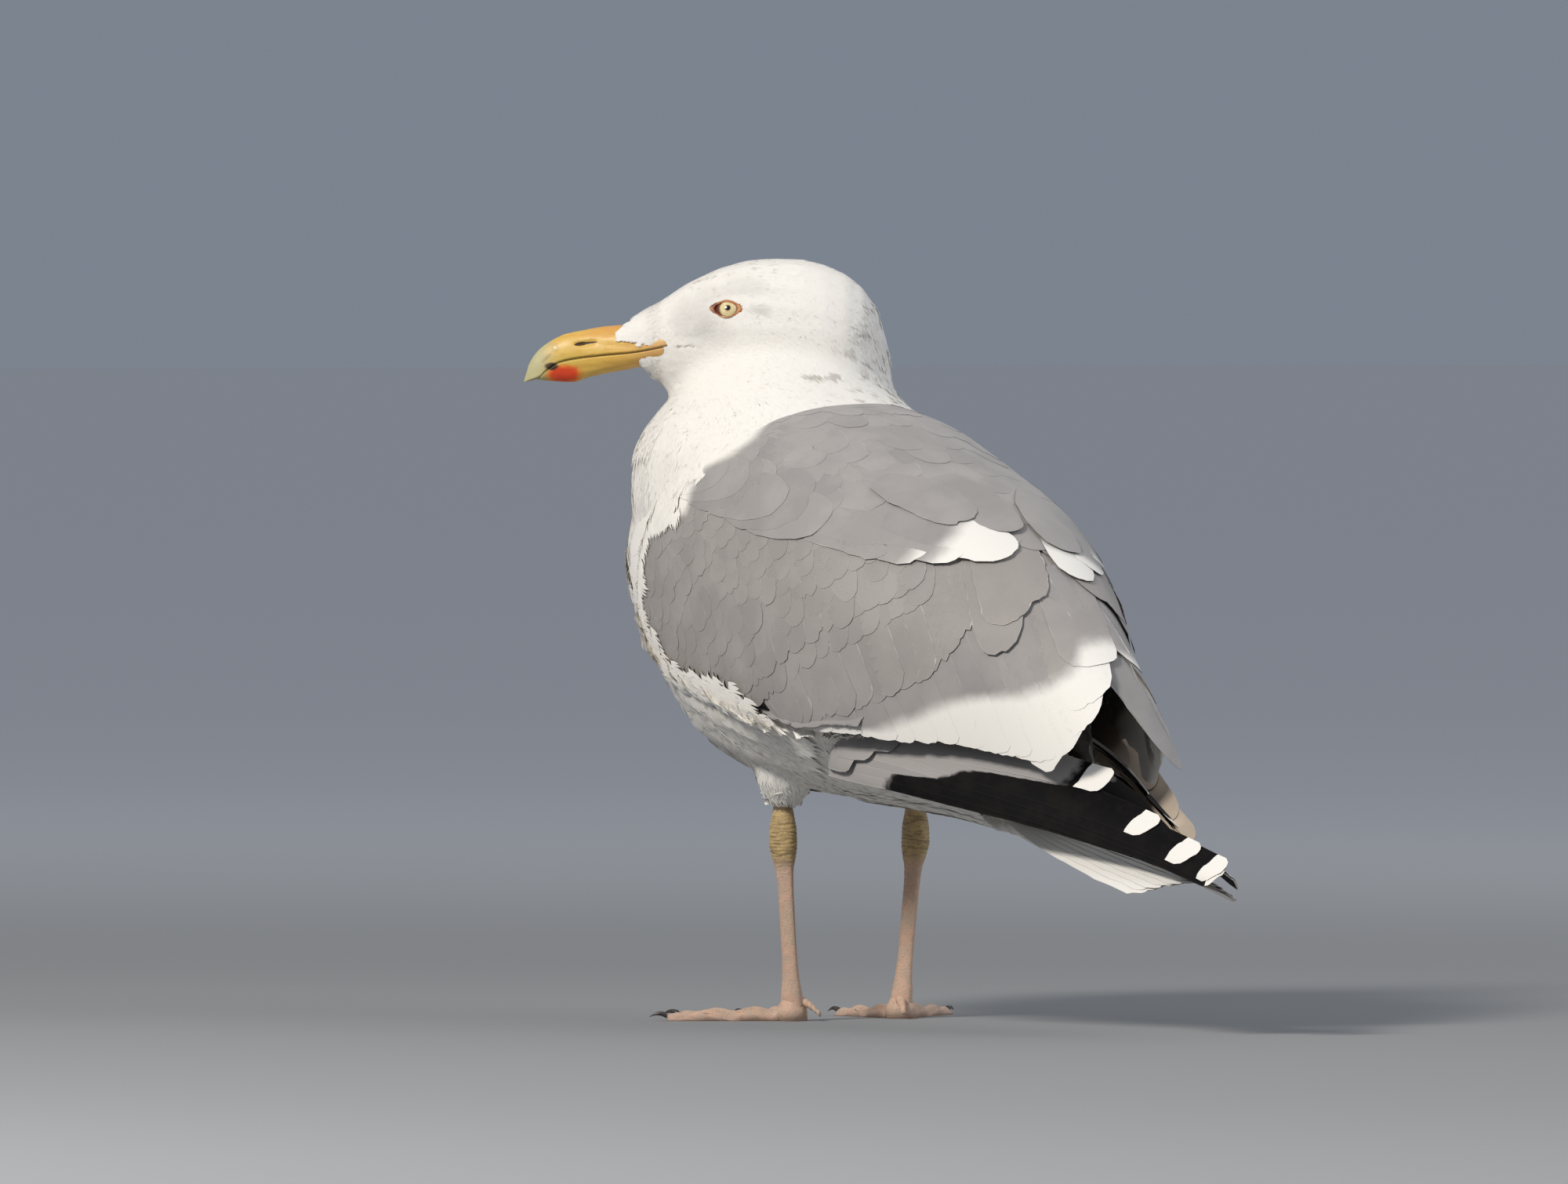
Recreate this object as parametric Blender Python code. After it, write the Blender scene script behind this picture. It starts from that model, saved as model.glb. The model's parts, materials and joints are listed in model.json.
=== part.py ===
"""A standing herring gull, life size, as a still model: closed solids in metres, +Z up, resting on z = 0.

The bird faces -Y, its left side is +X, and its head is turned to its left. The trunk, its mantle and its folded
wings are all read from one tilted hull, so that they lie on each other; thin cuts part them.
"""

import math

import bmesh
import bpy
from mathutils import Matrix, Vector

# ---------------------------------------------------------------- driving sizes
GAP = 0.0003  # clear space between neighbouring solids
BODY_PITCH = math.radians(28)  # slope of the trunk's long axis, tail end down
HEAD_TURN = math.radians(55)  # the bill points this far to the left of straight ahead
AXIS_HEIGHT = 0.180  # the trunk's axis crosses y = 0 at this height

TRUNK_FRONT = -0.123  # where the trunk starts and ends along its own axis
RUMP_JOIN = 0.072
RUMP_END = 0.214
HULL_SQUARE = 2.3  # how square the hull's sections are, 2 being an ellipse
BREAST_ROUND = 0.090  # length of the rounded breast
COAT_FRONT = -0.046  # front edge of mantle and wing along the trunk's axis
MANTLE_END = 0.128
WING_JOIN = 0.122  # where the wing's coverts end and the tertials start
TERTIAL_END = 0.206

HEAD_CENTRE = Vector((0.0100, -0.0460, 0.2950))
HEAD_LENGTH = 0.117  # from the back of the head to the bill's base
BILL_LENGTH = 0.046  # from the culmen's base to the tip
EYE_RADIUS = 0.0072

ANKLE = Vector((0.0342, 0.0020, 0.0755))
FOOT_JOINT = Vector((0.0282, 0.0000, 0.0080))
STANCE = Vector((0.0027, 0.0040, 0.0))  # both legs stand this far from the trunk's own middle line
TOE_OUT = math.radians(26)  # each foot points this far outwards
TOE_SPREAD = math.radians(30)
TOE_LENGTHS = {"inner": 0.043, "middle": 0.056, "outer": 0.053}
FOOT_BACK = 0.0066  # how far the sole reaches behind the ball
BALL_RADIUS = 0.0078
BALL_HEIGHT = 0.0110
CLAW_LENGTH = 0.0075
WEB_THICK = 0.0016

TAIL_ROOT = Vector((0.0, 0.122, 0.0985))
TAIL_LENGTH = 0.131
TAIL_HALF_WIDTH = 0.028

SEGMENTS = 24


# ---------------------------------------------------------------- small tools
def clear_scene():
    for obj in list(bpy.data.objects):
        bpy.data.objects.remove(obj)


def material(name, colour, roughness, metallic=0.0):
    made = bpy.data.materials.new(name)
    made.use_nodes = True
    shader = made.node_tree.nodes["Principled BSDF"]
    shader.inputs["Base Color"].default_value = (*colour, 1.0)
    shader.inputs["Roughness"].default_value = roughness
    shader.inputs["Metallic"].default_value = metallic
    made.diffuse_color = (*colour, 1.0)
    return made


def through(keys, at):
    """Smooth curve through (position, value) keys, with no overshoot between them."""
    places = [k[0] for k in keys]
    values = [k[1] for k in keys]
    if at <= places[0]:
        return values[0]
    if at >= places[-1]:
        return values[-1]
    i = max(n for n in range(len(places) - 1) if places[n] <= at)
    slopes = [(values[n + 1] - values[n]) / (places[n + 1] - places[n]) for n in range(len(places) - 1)]

    def tangent(n):
        if n == 0:
            return slopes[0]
        if n == len(slopes):
            return slopes[-1]
        before, after = slopes[n - 1], slopes[n]
        if before * after <= 0:
            return 0.0
        return 2 * before * after / (before + after)

    span = places[i + 1] - places[i]
    t = (at - places[i]) / span
    low, high = tangent(i) * span, tangent(i + 1) * span
    return (
        values[i] * (2 * t**3 - 3 * t**2 + 1)
        + low * (t**3 - 2 * t**2 + t)
        + values[i + 1] * (3 * t**2 - 2 * t**3)
        + high * (t**3 - t**2)
    )


def rounding(at, start, length):
    """0 at start and 1 a length further on, along a quarter of an ellipse."""
    k = min(max((at - start) / length, 0.0), 1.0)
    return math.sqrt(1 - (1 - k) ** 2)


def steps(start, end, count, crowd_start=False, crowd_end=False):
    """Places from start to end, closer together at an end that is rounded."""
    found = []
    for n in range(count + 1):
        t = n / count
        if crowd_start and crowd_end:
            t = (1 - math.cos(math.pi * t)) / 2
        elif crowd_start:
            t = 1 - math.cos(math.pi / 2 * t)
        elif crowd_end:
            t = math.sin(math.pi / 2 * t)
        found.append(start + (end - start) * t)
    return found


def new_object(name, mesh_maker, finish):
    shape = bmesh.new()
    mesh_maker(shape)
    bmesh.ops.recalc_face_normals(shape, faces=shape.faces)
    bmesh.ops.triangulate(shape, faces=shape.faces)
    mesh = bpy.data.meshes.new(name)
    shape.to_mesh(mesh)
    shape.free()
    mesh.shade_smooth()
    mesh.set_sharp_from_angle(angle=math.radians(50))
    obj = bpy.data.objects.new(name, mesh)
    bpy.context.scene.collection.objects.link(obj)
    if finish:
        mesh.materials.append(finish)
    return obj


def loft(name, rings, finish):
    """A closed solid through rings of equally many points; a fan to its middle closes each end."""

    def build(shape):
        rows = [[shape.verts.new(p) for p in ring] for ring in rings]
        for first, second in zip(rows, rows[1:]):
            for n in range(len(first)):
                m = (n + 1) % len(first)
                shape.faces.new((first[n], first[m], second[m], second[n]))
        for row in (rows[0], rows[-1]):
            middle = shape.verts.new(sum((v.co for v in row), Vector()) / len(row))
            for n in range(len(row)):
                shape.faces.new((row[n], row[(n + 1) % len(row)], middle))

    return new_object(name, build, finish)


def slab(name, outer, inner, finish):
    """A closed sheet between two equal grids of points."""

    def build(shape):
        top = [[shape.verts.new(p) for p in row] for row in outer]
        under = [[shape.verts.new(p) for p in row] for row in inner]
        rows, columns = len(top), len(top[0])
        for i in range(rows - 1):
            for j in range(columns - 1):
                for grid in (top, under):
                    shape.faces.new((grid[i][j], grid[i + 1][j], grid[i + 1][j + 1], grid[i][j + 1]))
        rim = [(i, 0) for i in range(rows)] + [(rows - 1, j) for j in range(1, columns)]
        rim += [(i, columns - 1) for i in range(rows - 2, -1, -1)] + [(0, j) for j in range(columns - 2, 0, -1)]
        for (a, b), (c, d) in zip(rim, rim[1:] + rim[:1]):
            shape.faces.new((top[a][b], top[c][d], under[c][d], under[a][b]))

    return new_object(name, build, finish)


def squared(value, power):
    return math.copysign(abs(value) ** (2 / power), value)


def ring_at(centre, across, up, half_width, rise, drop, power=2.0, segments=SEGMENTS):
    """One closed section: an oval whose upper and lower halves may differ, squarer as power grows."""
    points = []
    for n in range(segments):
        angle = 2 * math.pi * n / segments
        side, height = squared(math.sin(angle), power), squared(math.cos(angle), power)
        points.append(centre + across * (side * half_width) + up * (height * (rise if height > 0 else drop)))
    return points


def helper(obj):
    obj.hide_render = True
    obj.display_type = "WIRE"
    return obj


def grown(obj, gap=GAP):
    """A hidden copy of a solid, swollen by the gap, to cut its neighbours with."""
    copy = bpy.data.objects.new(obj.name + "_cutter", obj.data.copy())
    bpy.context.scene.collection.objects.link(copy)
    shape = bmesh.new()
    shape.from_mesh(copy.data)
    moves = [(v, v.normal.copy()) for v in shape.verts]
    for vertex, normal in moves:
        vertex.co += normal * gap * vertex.calc_shell_factor()
    shape.to_mesh(copy.data)
    shape.free()
    return helper(copy)


def cut(obj, *cutters):
    for cutter in cutters:
        modifier = obj.modifiers.new("cut_by_" + cutter.name, "BOOLEAN")
        modifier.operation = "DIFFERENCE"
        modifier.object = cutter


def mirrored(point):
    return Vector((-point.x, point.y, point.z))


def on_side(side, points, shift=Vector()):
    """The rows of points as they are for the left, mirrored for the right, then moved."""
    if side == "right":
        points = [[mirrored(p) for p in row] for row in points]
    return [[p + shift for p in row] for row in points]


# ---------------------------------------------------------------- the hull that trunk, mantle and wings share
HULL_WIDTH = [(-0.123, 0.070), (-0.060, 0.073), (0.000, 0.078), (0.050, 0.078), (0.100, 0.070),
              (0.150, 0.053), (0.190, 0.037), (0.225, 0.028)]
HULL_MIDDLE = [(-0.123, -0.010), (0.000, 0.000), (0.100, 0.006), (0.225, 0.010)]
HULL_RISE = [(-0.123, 0.054), (-0.080, 0.062), (-0.038, 0.077), (0.000, 0.0835), (0.060, 0.0845),
             (0.120, 0.079), (0.175, 0.067), (0.225, 0.055)]
HULL_DROP = [(-0.123, 0.052), (-0.080, 0.056), (-0.050, 0.065), (0.000, 0.084), (0.042, 0.076),
             (0.097, 0.055), (0.133, 0.042), (0.180, 0.028), (0.225, 0.016)]


def trunk_point(along, side, rise):
    """A point given along the trunk's tilted axis, sideways from it and square up from it."""
    across, down = math.cos(BODY_PITCH), math.sin(BODY_PITCH)
    return Vector((side, along * across + rise * down, AXIS_HEIGHT - along * down + rise * across))


def hull_point(along, angle, lift=0.0):
    """A point of the hull; the angle runs from 0 at the back's ridge to pi at the keel."""
    round_off = rounding(along, TRUNK_FRONT, BREAST_ROUND)
    width = through(HULL_WIDTH, along) * round_off + lift
    side, height = squared(math.sin(angle), HULL_SQUARE), squared(math.cos(angle), HULL_SQUARE)
    reach = (through(HULL_RISE if height > 0 else HULL_DROP, along)) * round_off + lift
    return trunk_point(along, width * side, through(HULL_MIDDLE, along) + reach * height)


# ---------------------------------------------------------------- trunk, neck and head
RUMP_SINK = [(0.040, 0.0), (0.080, 0.010), (0.120, 0.028), (0.160, 0.044), (0.214, 0.058)]
RUMP_NARROW = [(0.040, 0.0), (0.100, 0.010), (0.150, 0.024), (0.214, 0.026)]


def trunk_ring(along):
    round_off = max(rounding(along, TRUNK_FRONT, BREAST_ROUND), 0.02)
    tail_off = max(rounding(-along, -RUMP_END, 0.030), 0.10)
    width = (through(HULL_WIDTH, along) - through(RUMP_NARROW, along)) * round_off * tail_off
    rise = (through(HULL_RISE, along) - through(RUMP_SINK, along)) * round_off * tail_off
    drop = through(HULL_DROP, along) * round_off * tail_off
    middle = trunk_point(along, 0.0, through(HULL_MIDDLE, along))
    up = Vector((0.0, math.sin(BODY_PITCH), math.cos(BODY_PITCH)))
    return ring_at(middle, Vector((1, 0, 0)), up, width, rise, drop, power=HULL_SQUARE)


def make_trunk(finish):
    places = steps(TRUNK_FRONT, RUMP_JOIN, 12, crowd_start=True)
    return loft("trunk", [trunk_ring(along) for along in places], finish)


def make_rump(finish):
    places = steps(RUMP_JOIN + GAP, RUMP_END, 7, crowd_end=True)
    return loft("rump", [trunk_ring(along) for along in places], finish)


# height, then the neck's radius there and how far it leans towards the head
NECK_RADIUS = [(0.190, 0.0600), (0.210, 0.0690), (0.225, 0.0708), (0.240, 0.0695), (0.250, 0.0650),
               (0.258, 0.0580), (0.268, 0.0472), (0.276, 0.0390), (0.284, 0.0290)]
NECK_LEAN = [(0.190, 0.0), (0.240, 0.0), (0.268, 0.0050), (0.284, 0.0095)]
NECK_MIDDLE_Y = -0.040


def make_neck(finish):
    forward = head_frame()[0]
    rings = []
    for height in steps(0.190, 0.284, 9):
        radius = through(NECK_RADIUS, height)
        middle = Vector((0.0, NECK_MIDDLE_Y, height)) + forward * through(NECK_LEAN, height)
        rings.append(ring_at(middle, Vector((1, 0, 0)), Vector((0, 1, 0)), radius, radius, radius, segments=22))
    return loft("neck", rings, finish)


def head_frame():
    """The head's forward, left and up directions."""
    forward = Vector((math.sin(HEAD_TURN), -math.cos(HEAD_TURN), 0.0))
    left = Vector((math.cos(HEAD_TURN), math.sin(HEAD_TURN), 0.0))
    return forward, left, Vector((0, 0, 1))


def head_point(ahead, left, up):
    forward, side, upward = head_frame()
    return HEAD_CENTRE + forward * ahead + side * left + upward * up


# distance ahead of the head's centre, then half width, top and bottom above that centre
HEAD_WIDTH = [(-0.054, 0.020), (-0.035, 0.0275), (-0.018, 0.0285), (0.000, 0.0270), (0.018, 0.0236),
              (0.033, 0.0192), (0.046, 0.0146), (0.055, 0.0112), (0.062, 0.0090)]
HEAD_TOP = [(-0.054, -0.007), (-0.047, 0.0095), (-0.038, 0.0205), (-0.026, 0.0272), (-0.012, 0.0302),
            (0.002, 0.0303), (0.018, 0.0270), (0.035, 0.0193), (0.050, 0.0092), (0.062, 0.0012)]
HEAD_FLOOR = [(-0.054, -0.034), (-0.020, -0.046), (0.010, -0.040), (0.032, -0.0292), (0.044, -0.0226),
              (0.055, -0.0186), (0.062, -0.0172)]
HEAD_BACK = -0.0545
HEAD_FRONT = 0.0625


def make_head(finish):
    forward, left, up = head_frame()
    rings = []
    for ahead in steps(HEAD_BACK, HEAD_FRONT, 13, crowd_start=True):
        round_off = max(rounding(ahead, HEAD_BACK, 0.030), 0.05)
        top, floor = through(HEAD_TOP, ahead), through(HEAD_FLOOR, ahead)
        middle = (top + floor) / 2
        width = through(HEAD_WIDTH, ahead) * round_off
        high = (top - middle) * max(rounding(ahead, HEAD_BACK, 0.010), 0.05)
        rings.append(ring_at(head_point(ahead, 0, middle), left, up, width, high, high, power=2.15, segments=22))
    return loft("head", rings, finish)


# ---------------------------------------------------------------- bill and eyes
BILL_ROOT = 0.036  # the bill's horn starts inside the head, this far ahead of its centre
BILL_TIP = 0.1043
LOWER_TIP = 0.0975
CULMEN = [(0.036, 0.0040), (0.056, 0.0020), (0.068, 0.0012), (0.0807, -0.0009), (0.0865, -0.0022),
          (0.0917, -0.0046), (0.0970, -0.0082), (0.1001, -0.0116), (0.1022, -0.0153), (0.1035, -0.0195),
          (0.1043, -0.0222)]
GAPE_LINE = [(0.036, -0.0060), (0.0425, -0.0074), (0.0577, -0.0103), (0.0682, -0.0113), (0.0807, -0.0127),
             (0.0891, -0.0145), (0.0955, -0.0182), (0.1000, -0.0214), (0.1043, -0.0228)]
GONYS = [(0.036, -0.0150), (0.0525, -0.0161), (0.0603, -0.0176), (0.0682, -0.0189), (0.0760, -0.0207),
         (0.0833, -0.0228), (0.0890, -0.0226), (0.0975, -0.0214)]
BILL_WIDTH = [(0.036, 0.0162), (0.044, 0.0155), (0.052, 0.0131), (0.058, 0.0111), (0.064, 0.0094),
              (0.072, 0.0077), (0.082, 0.0062), (0.091, 0.0048), (0.098, 0.0034), (0.102, 0.0022), (0.1043, 0.0008)]


def make_upper_bill(finish):
    _, left, up = head_frame()
    rings = []
    for ahead in steps(BILL_ROOT, BILL_TIP, 12, crowd_end=True):
        top, foot = through(CULMEN, ahead), through(GAPE_LINE, ahead)
        width = through(BILL_WIDTH, ahead)
        rings.append(ring_at(head_point(ahead, 0, foot), left, up, width, max(top - foot, 0.0005), 0.0004,
                             power=2.2, segments=12))
    return loft("bill_upper", rings, finish)


def make_lower_bill(finish):
    _, left, up = head_frame()
    rings = []
    for ahead in steps(BILL_ROOT, LOWER_TIP, 8, crowd_end=True):
        top, foot = through(GAPE_LINE, ahead) - 0.0008, through(GONYS, ahead)
        width = through(BILL_WIDTH, ahead) * 0.93
        rings.append(ring_at(head_point(ahead, 0, top), left, up, width, 0.0002, max(top - foot, 0.0005),
                             power=2.2, segments=12))
    return loft("bill_lower", rings, finish)


def make_bill_socket():
    """A hidden block the shape of the bill's root, to hollow the head's front with."""
    _, left, up = head_frame()
    rings = []
    for ahead in steps(BILL_ROOT - GAP, HEAD_FRONT + 0.003, 9):
        middle = through(GAPE_LINE, ahead) - 0.0004
        width = through(BILL_WIDTH, ahead) + GAP
        top, foot = through(CULMEN, ahead) + GAP, through(GONYS, ahead) - GAP
        rings.append(ring_at(head_point(ahead, 0, middle), left, up, width, top - middle, middle - foot,
                             power=2.2, segments=12))
    return helper(loft("bill_socket", rings, None))


EYE_AHEAD = 0.0156
EYE_UP = 0.0070
EYE_OUT = 0.0160


def make_eye(side, finish):
    centre = head_point(EYE_AHEAD, EYE_OUT if side == "left" else -EYE_OUT, EYE_UP)

    def build(shape):
        bmesh.ops.create_uvsphere(shape, u_segments=12, v_segments=8, radius=EYE_RADIUS,
                                  matrix=Matrix.Translation(centre))

    return new_object("eye_" + side, build, finish)


# ---------------------------------------------------------------- mantle and folded wings
MANTLE_ANGLE = [(-0.046, 58), (0.020, 52), (0.080, 41), (0.105, 32), (0.120, 17), (0.128, 6)]
WING_LOW_ANGLE = [(-0.056, 108), (-0.022, 119), (0.018, 113), (0.060, 112), (0.081, 112), (0.105, 103),
                  (0.122, 96), (0.150, 88), (0.206, 74)]
WING_LIFT = 0.0022
MANTLE_LIFT = 0.0010
MANTLE_THICK = 0.008
WING_THICK = [(-0.056, 0.010), (0.000, 0.012), (0.100, 0.012), (0.150, 0.010), (0.206, 0.005)]
RIDGE_CLEAR = math.radians(2.2)


def mantle_slab(name, finish, clear=0.0):
    """The mantle, or with some clearance on every side the pocket that it lies in."""
    outer, inner = [], []
    for along in steps(COAT_FRONT - clear, MANTLE_END + clear, 10, crowd_end=True):
        half = math.radians(through(MANTLE_ANGLE, along)) + clear / 0.018
        angles = [half * (2 * n / 10 - 1) for n in range(11)]
        outer.append([hull_point(along, a, MANTLE_LIFT + 3 * clear) for a in angles])
        inner.append([hull_point(along, a, MANTLE_LIFT - MANTLE_THICK - clear) for a in angles])
    return slab(name, outer, inner, finish)


def wing_top_angle(along):
    if along >= MANTLE_END:
        return RIDGE_CLEAR
    return max(math.radians(through(MANTLE_ANGLE, along) - 1.0), RIDGE_CLEAR)


def wing_grid(start_of, end_of, rows, columns, edge_in):
    """Outer and inner points of a wing region. start_of and end_of give its ends along the trunk at a share
    of the way down it; edge_in lifts the inner side at the trailing edge, so that it thins out there."""
    outer, inner = [], []
    for i in range(rows + 1):
        outer_row, inner_row = [], []
        for j in range(columns + 1):
            down = j / columns
            along = start_of(down) + (end_of(down) - start_of(down)) * i / rows
            top = wing_top_angle(along)
            low = math.radians(through(WING_LOW_ANGLE, along))
            angle = top + (low - top) * down
            thick = through(WING_THICK, along) * edge_in(i / rows, down)
            outer_row.append(hull_point(along, angle, WING_LIFT))
            inner_row.append(hull_point(along, angle, WING_LIFT - max(thick, 0.0010)))
        outer.append(outer_row)
        inner.append(inner_row)
    return outer, inner


def make_wing(side, finish):
    def start_of(down):
        return COAT_FRONT - 0.010 * math.sin(math.pi * min(down * 1.1, 1.0))

    def end_of(down):
        return WING_JOIN - GAP

    def thin(back, down):
        return 1 - 0.75 * max(0.0, (down - 0.8) / 0.2)

    outer, inner = wing_grid(start_of, end_of, 10, 8, thin)
    return slab("wing_" + side, on_side(side, outer), on_side(side, inner), finish)


TERTIAL_EDGE = [(0.0, 0.186), (0.25, 0.198), (0.6, 0.205), (1.0, 0.211)]


def make_tertials(side, finish):
    def start_of(down):
        return WING_JOIN + GAP

    def end_of(down):
        return through(TERTIAL_EDGE, down)

    def thin(back, down):
        return (1 - 0.7 * max(0.0, (down - 0.8) / 0.2)) * (1 - 0.8 * max(0.0, (back - 0.5) / 0.5))

    outer, inner = wing_grid(start_of, end_of, 6, 7, thin)
    return slab("tertials_" + side, on_side(side, outer), on_side(side, inner), finish)


# the stacked primaries: place down the wing (x, y, z), blade depth, thickness, lean in degrees
PRIMARY_PATH = [
    (0.00, Vector((0.0570, 0.072, 0.1180)), 0.020, 0.004, 25),
    (0.25, Vector((0.0470, 0.125, 0.1100)), 0.031, 0.007, 30),
    (0.50, Vector((0.0330, 0.175, 0.0985)), 0.035, 0.008, 34),
    (0.72, Vector((0.0190, 0.222, 0.0855)), 0.027, 0.006, 40),
    (0.88, Vector((0.0110, 0.258, 0.0745)), 0.018, 0.004, 44),
    (1.00, Vector((0.0070, 0.287, 0.0655)), 0.005, 0.0016, 46),
]


RIGHT_FOLD = Vector((0.0, -0.008, 0.0015))  # the right wing is folded a little tighter


def make_primaries(side, finish):
    rings = []
    for t in steps(0.0, 1.0, 11):
        place = Vector([through([(k[0], k[1][n]) for k in PRIMARY_PATH], t) for n in range(3)])
        depth = through([(k[0], k[2]) for k in PRIMARY_PATH], t)
        thick = through([(k[0], k[3]) for k in PRIMARY_PATH], t)
        lean = math.radians(through([(k[0], k[4]) for k in PRIMARY_PATH], t))
        up = Vector((-math.sin(lean), 0.0, math.cos(lean)))
        across = Vector((math.cos(lean), 0.0, math.sin(lean)))
        rings.append(ring_at(place, across, up, thick / 2, depth / 2, depth / 2, segments=10))
    return loft("primaries_" + side, on_side(side, rings, Vector() if side == "left" else RIGHT_FOLD), finish)


# ---------------------------------------------------------------- tail
TAIL_PITCH = math.radians(15)
TAIL_WIDTH = [(0.0, 0.016), (0.35, 0.0255), (0.7, 0.0305), (0.9, 0.0300), (1.0, 0.0270)]
TAIL_THICK = [(0.0, 0.009), (0.4, 0.006), (1.0, 0.0022)]
TAIL_DROOP = [(0.0, 0.002), (0.5, 0.0060), (0.8, 0.0060), (1.0, 0.0045)]
TAIL_ROLL = math.radians(6)  # the closed tail hangs a little lower on its right


def make_tail(finish):
    outer, inner = [], []
    for i in range(9):
        t = i / 8
        top_row, low_row = [], []
        for j in range(9):
            across = 2 * j / 8 - 1
            reach = TAIL_LENGTH * t * (1 - 0.05 * across**2)
            droop = through(TAIL_DROOP, t) * across**2
            place = TAIL_ROOT + Vector((0, math.cos(TAIL_PITCH), -math.sin(TAIL_PITCH))) * reach
            place += Vector((across * through(TAIL_WIDTH, t), 0, -droop))
            place.z += place.x * math.tan(TAIL_ROLL) * t
            half = through(TAIL_THICK, t) / 2 * (1 - 0.6 * abs(across) ** 3)
            top_row.append(place + Vector((0, 0, half)))
            low_row.append(place - Vector((0, 0, half)))
        outer.append(top_row)
        inner.append(low_row)
    return slab("tail", outer, inner, finish)


# ---------------------------------------------------------------- legs and feet
def tube(name, stations, finish, segments=10, side="left"):
    """A limb through (place, half width across, half width fore and aft) stations, level rings."""
    rings = []
    for place, wide, deep in stations:
        rings.append(ring_at(place, Vector((1, 0, 0)), Vector((0, 1, 0)), wide, deep, deep, segments=segments))
    return loft(name, on_side(side, rings, STANCE), finish)


def make_thigh(side, finish):
    hip = ANKLE + Vector((0.0020, 0.0060, 0.0560))
    knee_feathers = ANKLE + Vector((0.0, 0.0010, 0.0150))
    stations = []
    for t in steps(0.0, 1.0, 6, crowd_start=True, crowd_end=True):
        place = hip.lerp(knee_feathers, t)
        girth = through([(0.0, 0.004), (0.2, 0.014), (0.6, 0.0135), (0.85, 0.0095), (1.0, 0.0062)], t)
        stations.append((place, girth, girth * 1.25))
    return tube("thigh_" + side, stations, finish, side=side)


# height above the ankle's middle, half width across, half width fore and aft
SHANK = [(0.0190, 0.0036, 0.0042), (0.0130, 0.0042, 0.0055), (0.0060, 0.0054, 0.0068), (0.0000, 0.0056, 0.0070),
         (-0.0060, 0.0046, 0.0060), (-0.0110, 0.0034, 0.0047), (-0.0200, 0.0029, 0.0042), (-0.0450, 0.0028, 0.0040),
         (-0.0570, 0.0033, 0.0044), (-0.0641, 0.0043, 0.0050)]


def make_shank(side, finish):
    stations = []
    for rise, wide, deep in SHANK:
        t = min(max(-rise / (ANKLE.z - FOOT_JOINT.z), 0.0), 1.0)
        place = ANKLE.lerp(FOOT_JOINT, t)
        place.z = ANKLE.z + rise
        stations.append((place, wide, deep))
    return tube("shank_" + side, stations, finish, side=side)


def toe_direction(toe):
    turn = {"inner": -1, "middle": 0, "outer": 1}[toe]
    heading = TOE_OUT + turn * TOE_SPREAD
    return Vector((math.sin(heading), -math.cos(heading), 0.0))


def toe_height(toe, reach, aside):
    """Height of a toe's back over the floor, or 0 off its side; it swells a little at each joint."""
    t = reach / TOE_LENGTHS[toe]
    swell = 1 + 0.12 * math.cos(2 * math.pi * 3 * t)
    wide = through([(0.0, 0.0040), (0.5, 0.0032), (0.9, 0.0028), (1.0, 0.0020)], t) * swell
    tall = through([(0.0, 0.0070), (0.2, 0.0055), (0.6, 0.0045), (0.9, 0.0038), (1.0, 0.0022)], t) * swell
    return tall * math.sqrt(max(1 - (aside / wide) ** 2, 0.0)) if t <= 1.001 else 0.0


def foot_reach(turn):
    """How far the foot reaches from its ball at an angle from its middle toe: toe tips and hollow webs."""
    lengths = [TOE_LENGTHS[toe] for toe in ("inner", "middle", "outer")]
    tips = [(k - 1) * TOE_SPREAD for k in range(3)]
    side = abs(turn) - TOE_SPREAD
    if side > 0:
        edge = lengths[0] if turn < 0 else lengths[2]
        return max(min(0.0030 / math.sin(min(side, math.pi / 2)), edge), FOOT_BACK)
    k = 0 if turn < 0 else 1
    t = (turn - tips[k]) / TOE_SPREAD
    straight = 1 / ((1 - t) / lengths[k] + t / lengths[k + 1])
    return straight * (1 - 0.25 * math.sin(math.pi * t) ** 0.8)


def foot_angles():
    """Angles round the ball, close together across each toe and wide apart on the webs and behind."""
    across = [math.radians(a) for a in (-3.4, -1.2, 1.2, 3.4)]
    found = [k * TOE_SPREAD + a for k in (-1, 0, 1) for a in across]
    found += [(k + 0.5) * TOE_SPREAD + math.radians(a) for k in (-1, 0) for a in (-6, 6)]
    found += [sign * (TOE_SPREAD + math.radians(a)) for sign in (-1, 1) for a in (7, 16, 40, 75, 110)]
    return sorted(found) + [math.pi]


def foot_height(turn, reach):
    tall = 0.0
    for k, toe in enumerate(("inner", "middle", "outer")):
        off = turn - (k - 1) * TOE_SPREAD
        if abs(off) < math.pi / 2:
            tall = max(tall, toe_height(toe, reach * math.cos(off), reach * math.sin(off)))
    ball = BALL_HEIGHT * (1 - (reach / BALL_RADIUS) ** 3) if reach < BALL_RADIUS else 0.0
    return max(tall, ball, WEB_THICK)


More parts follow.
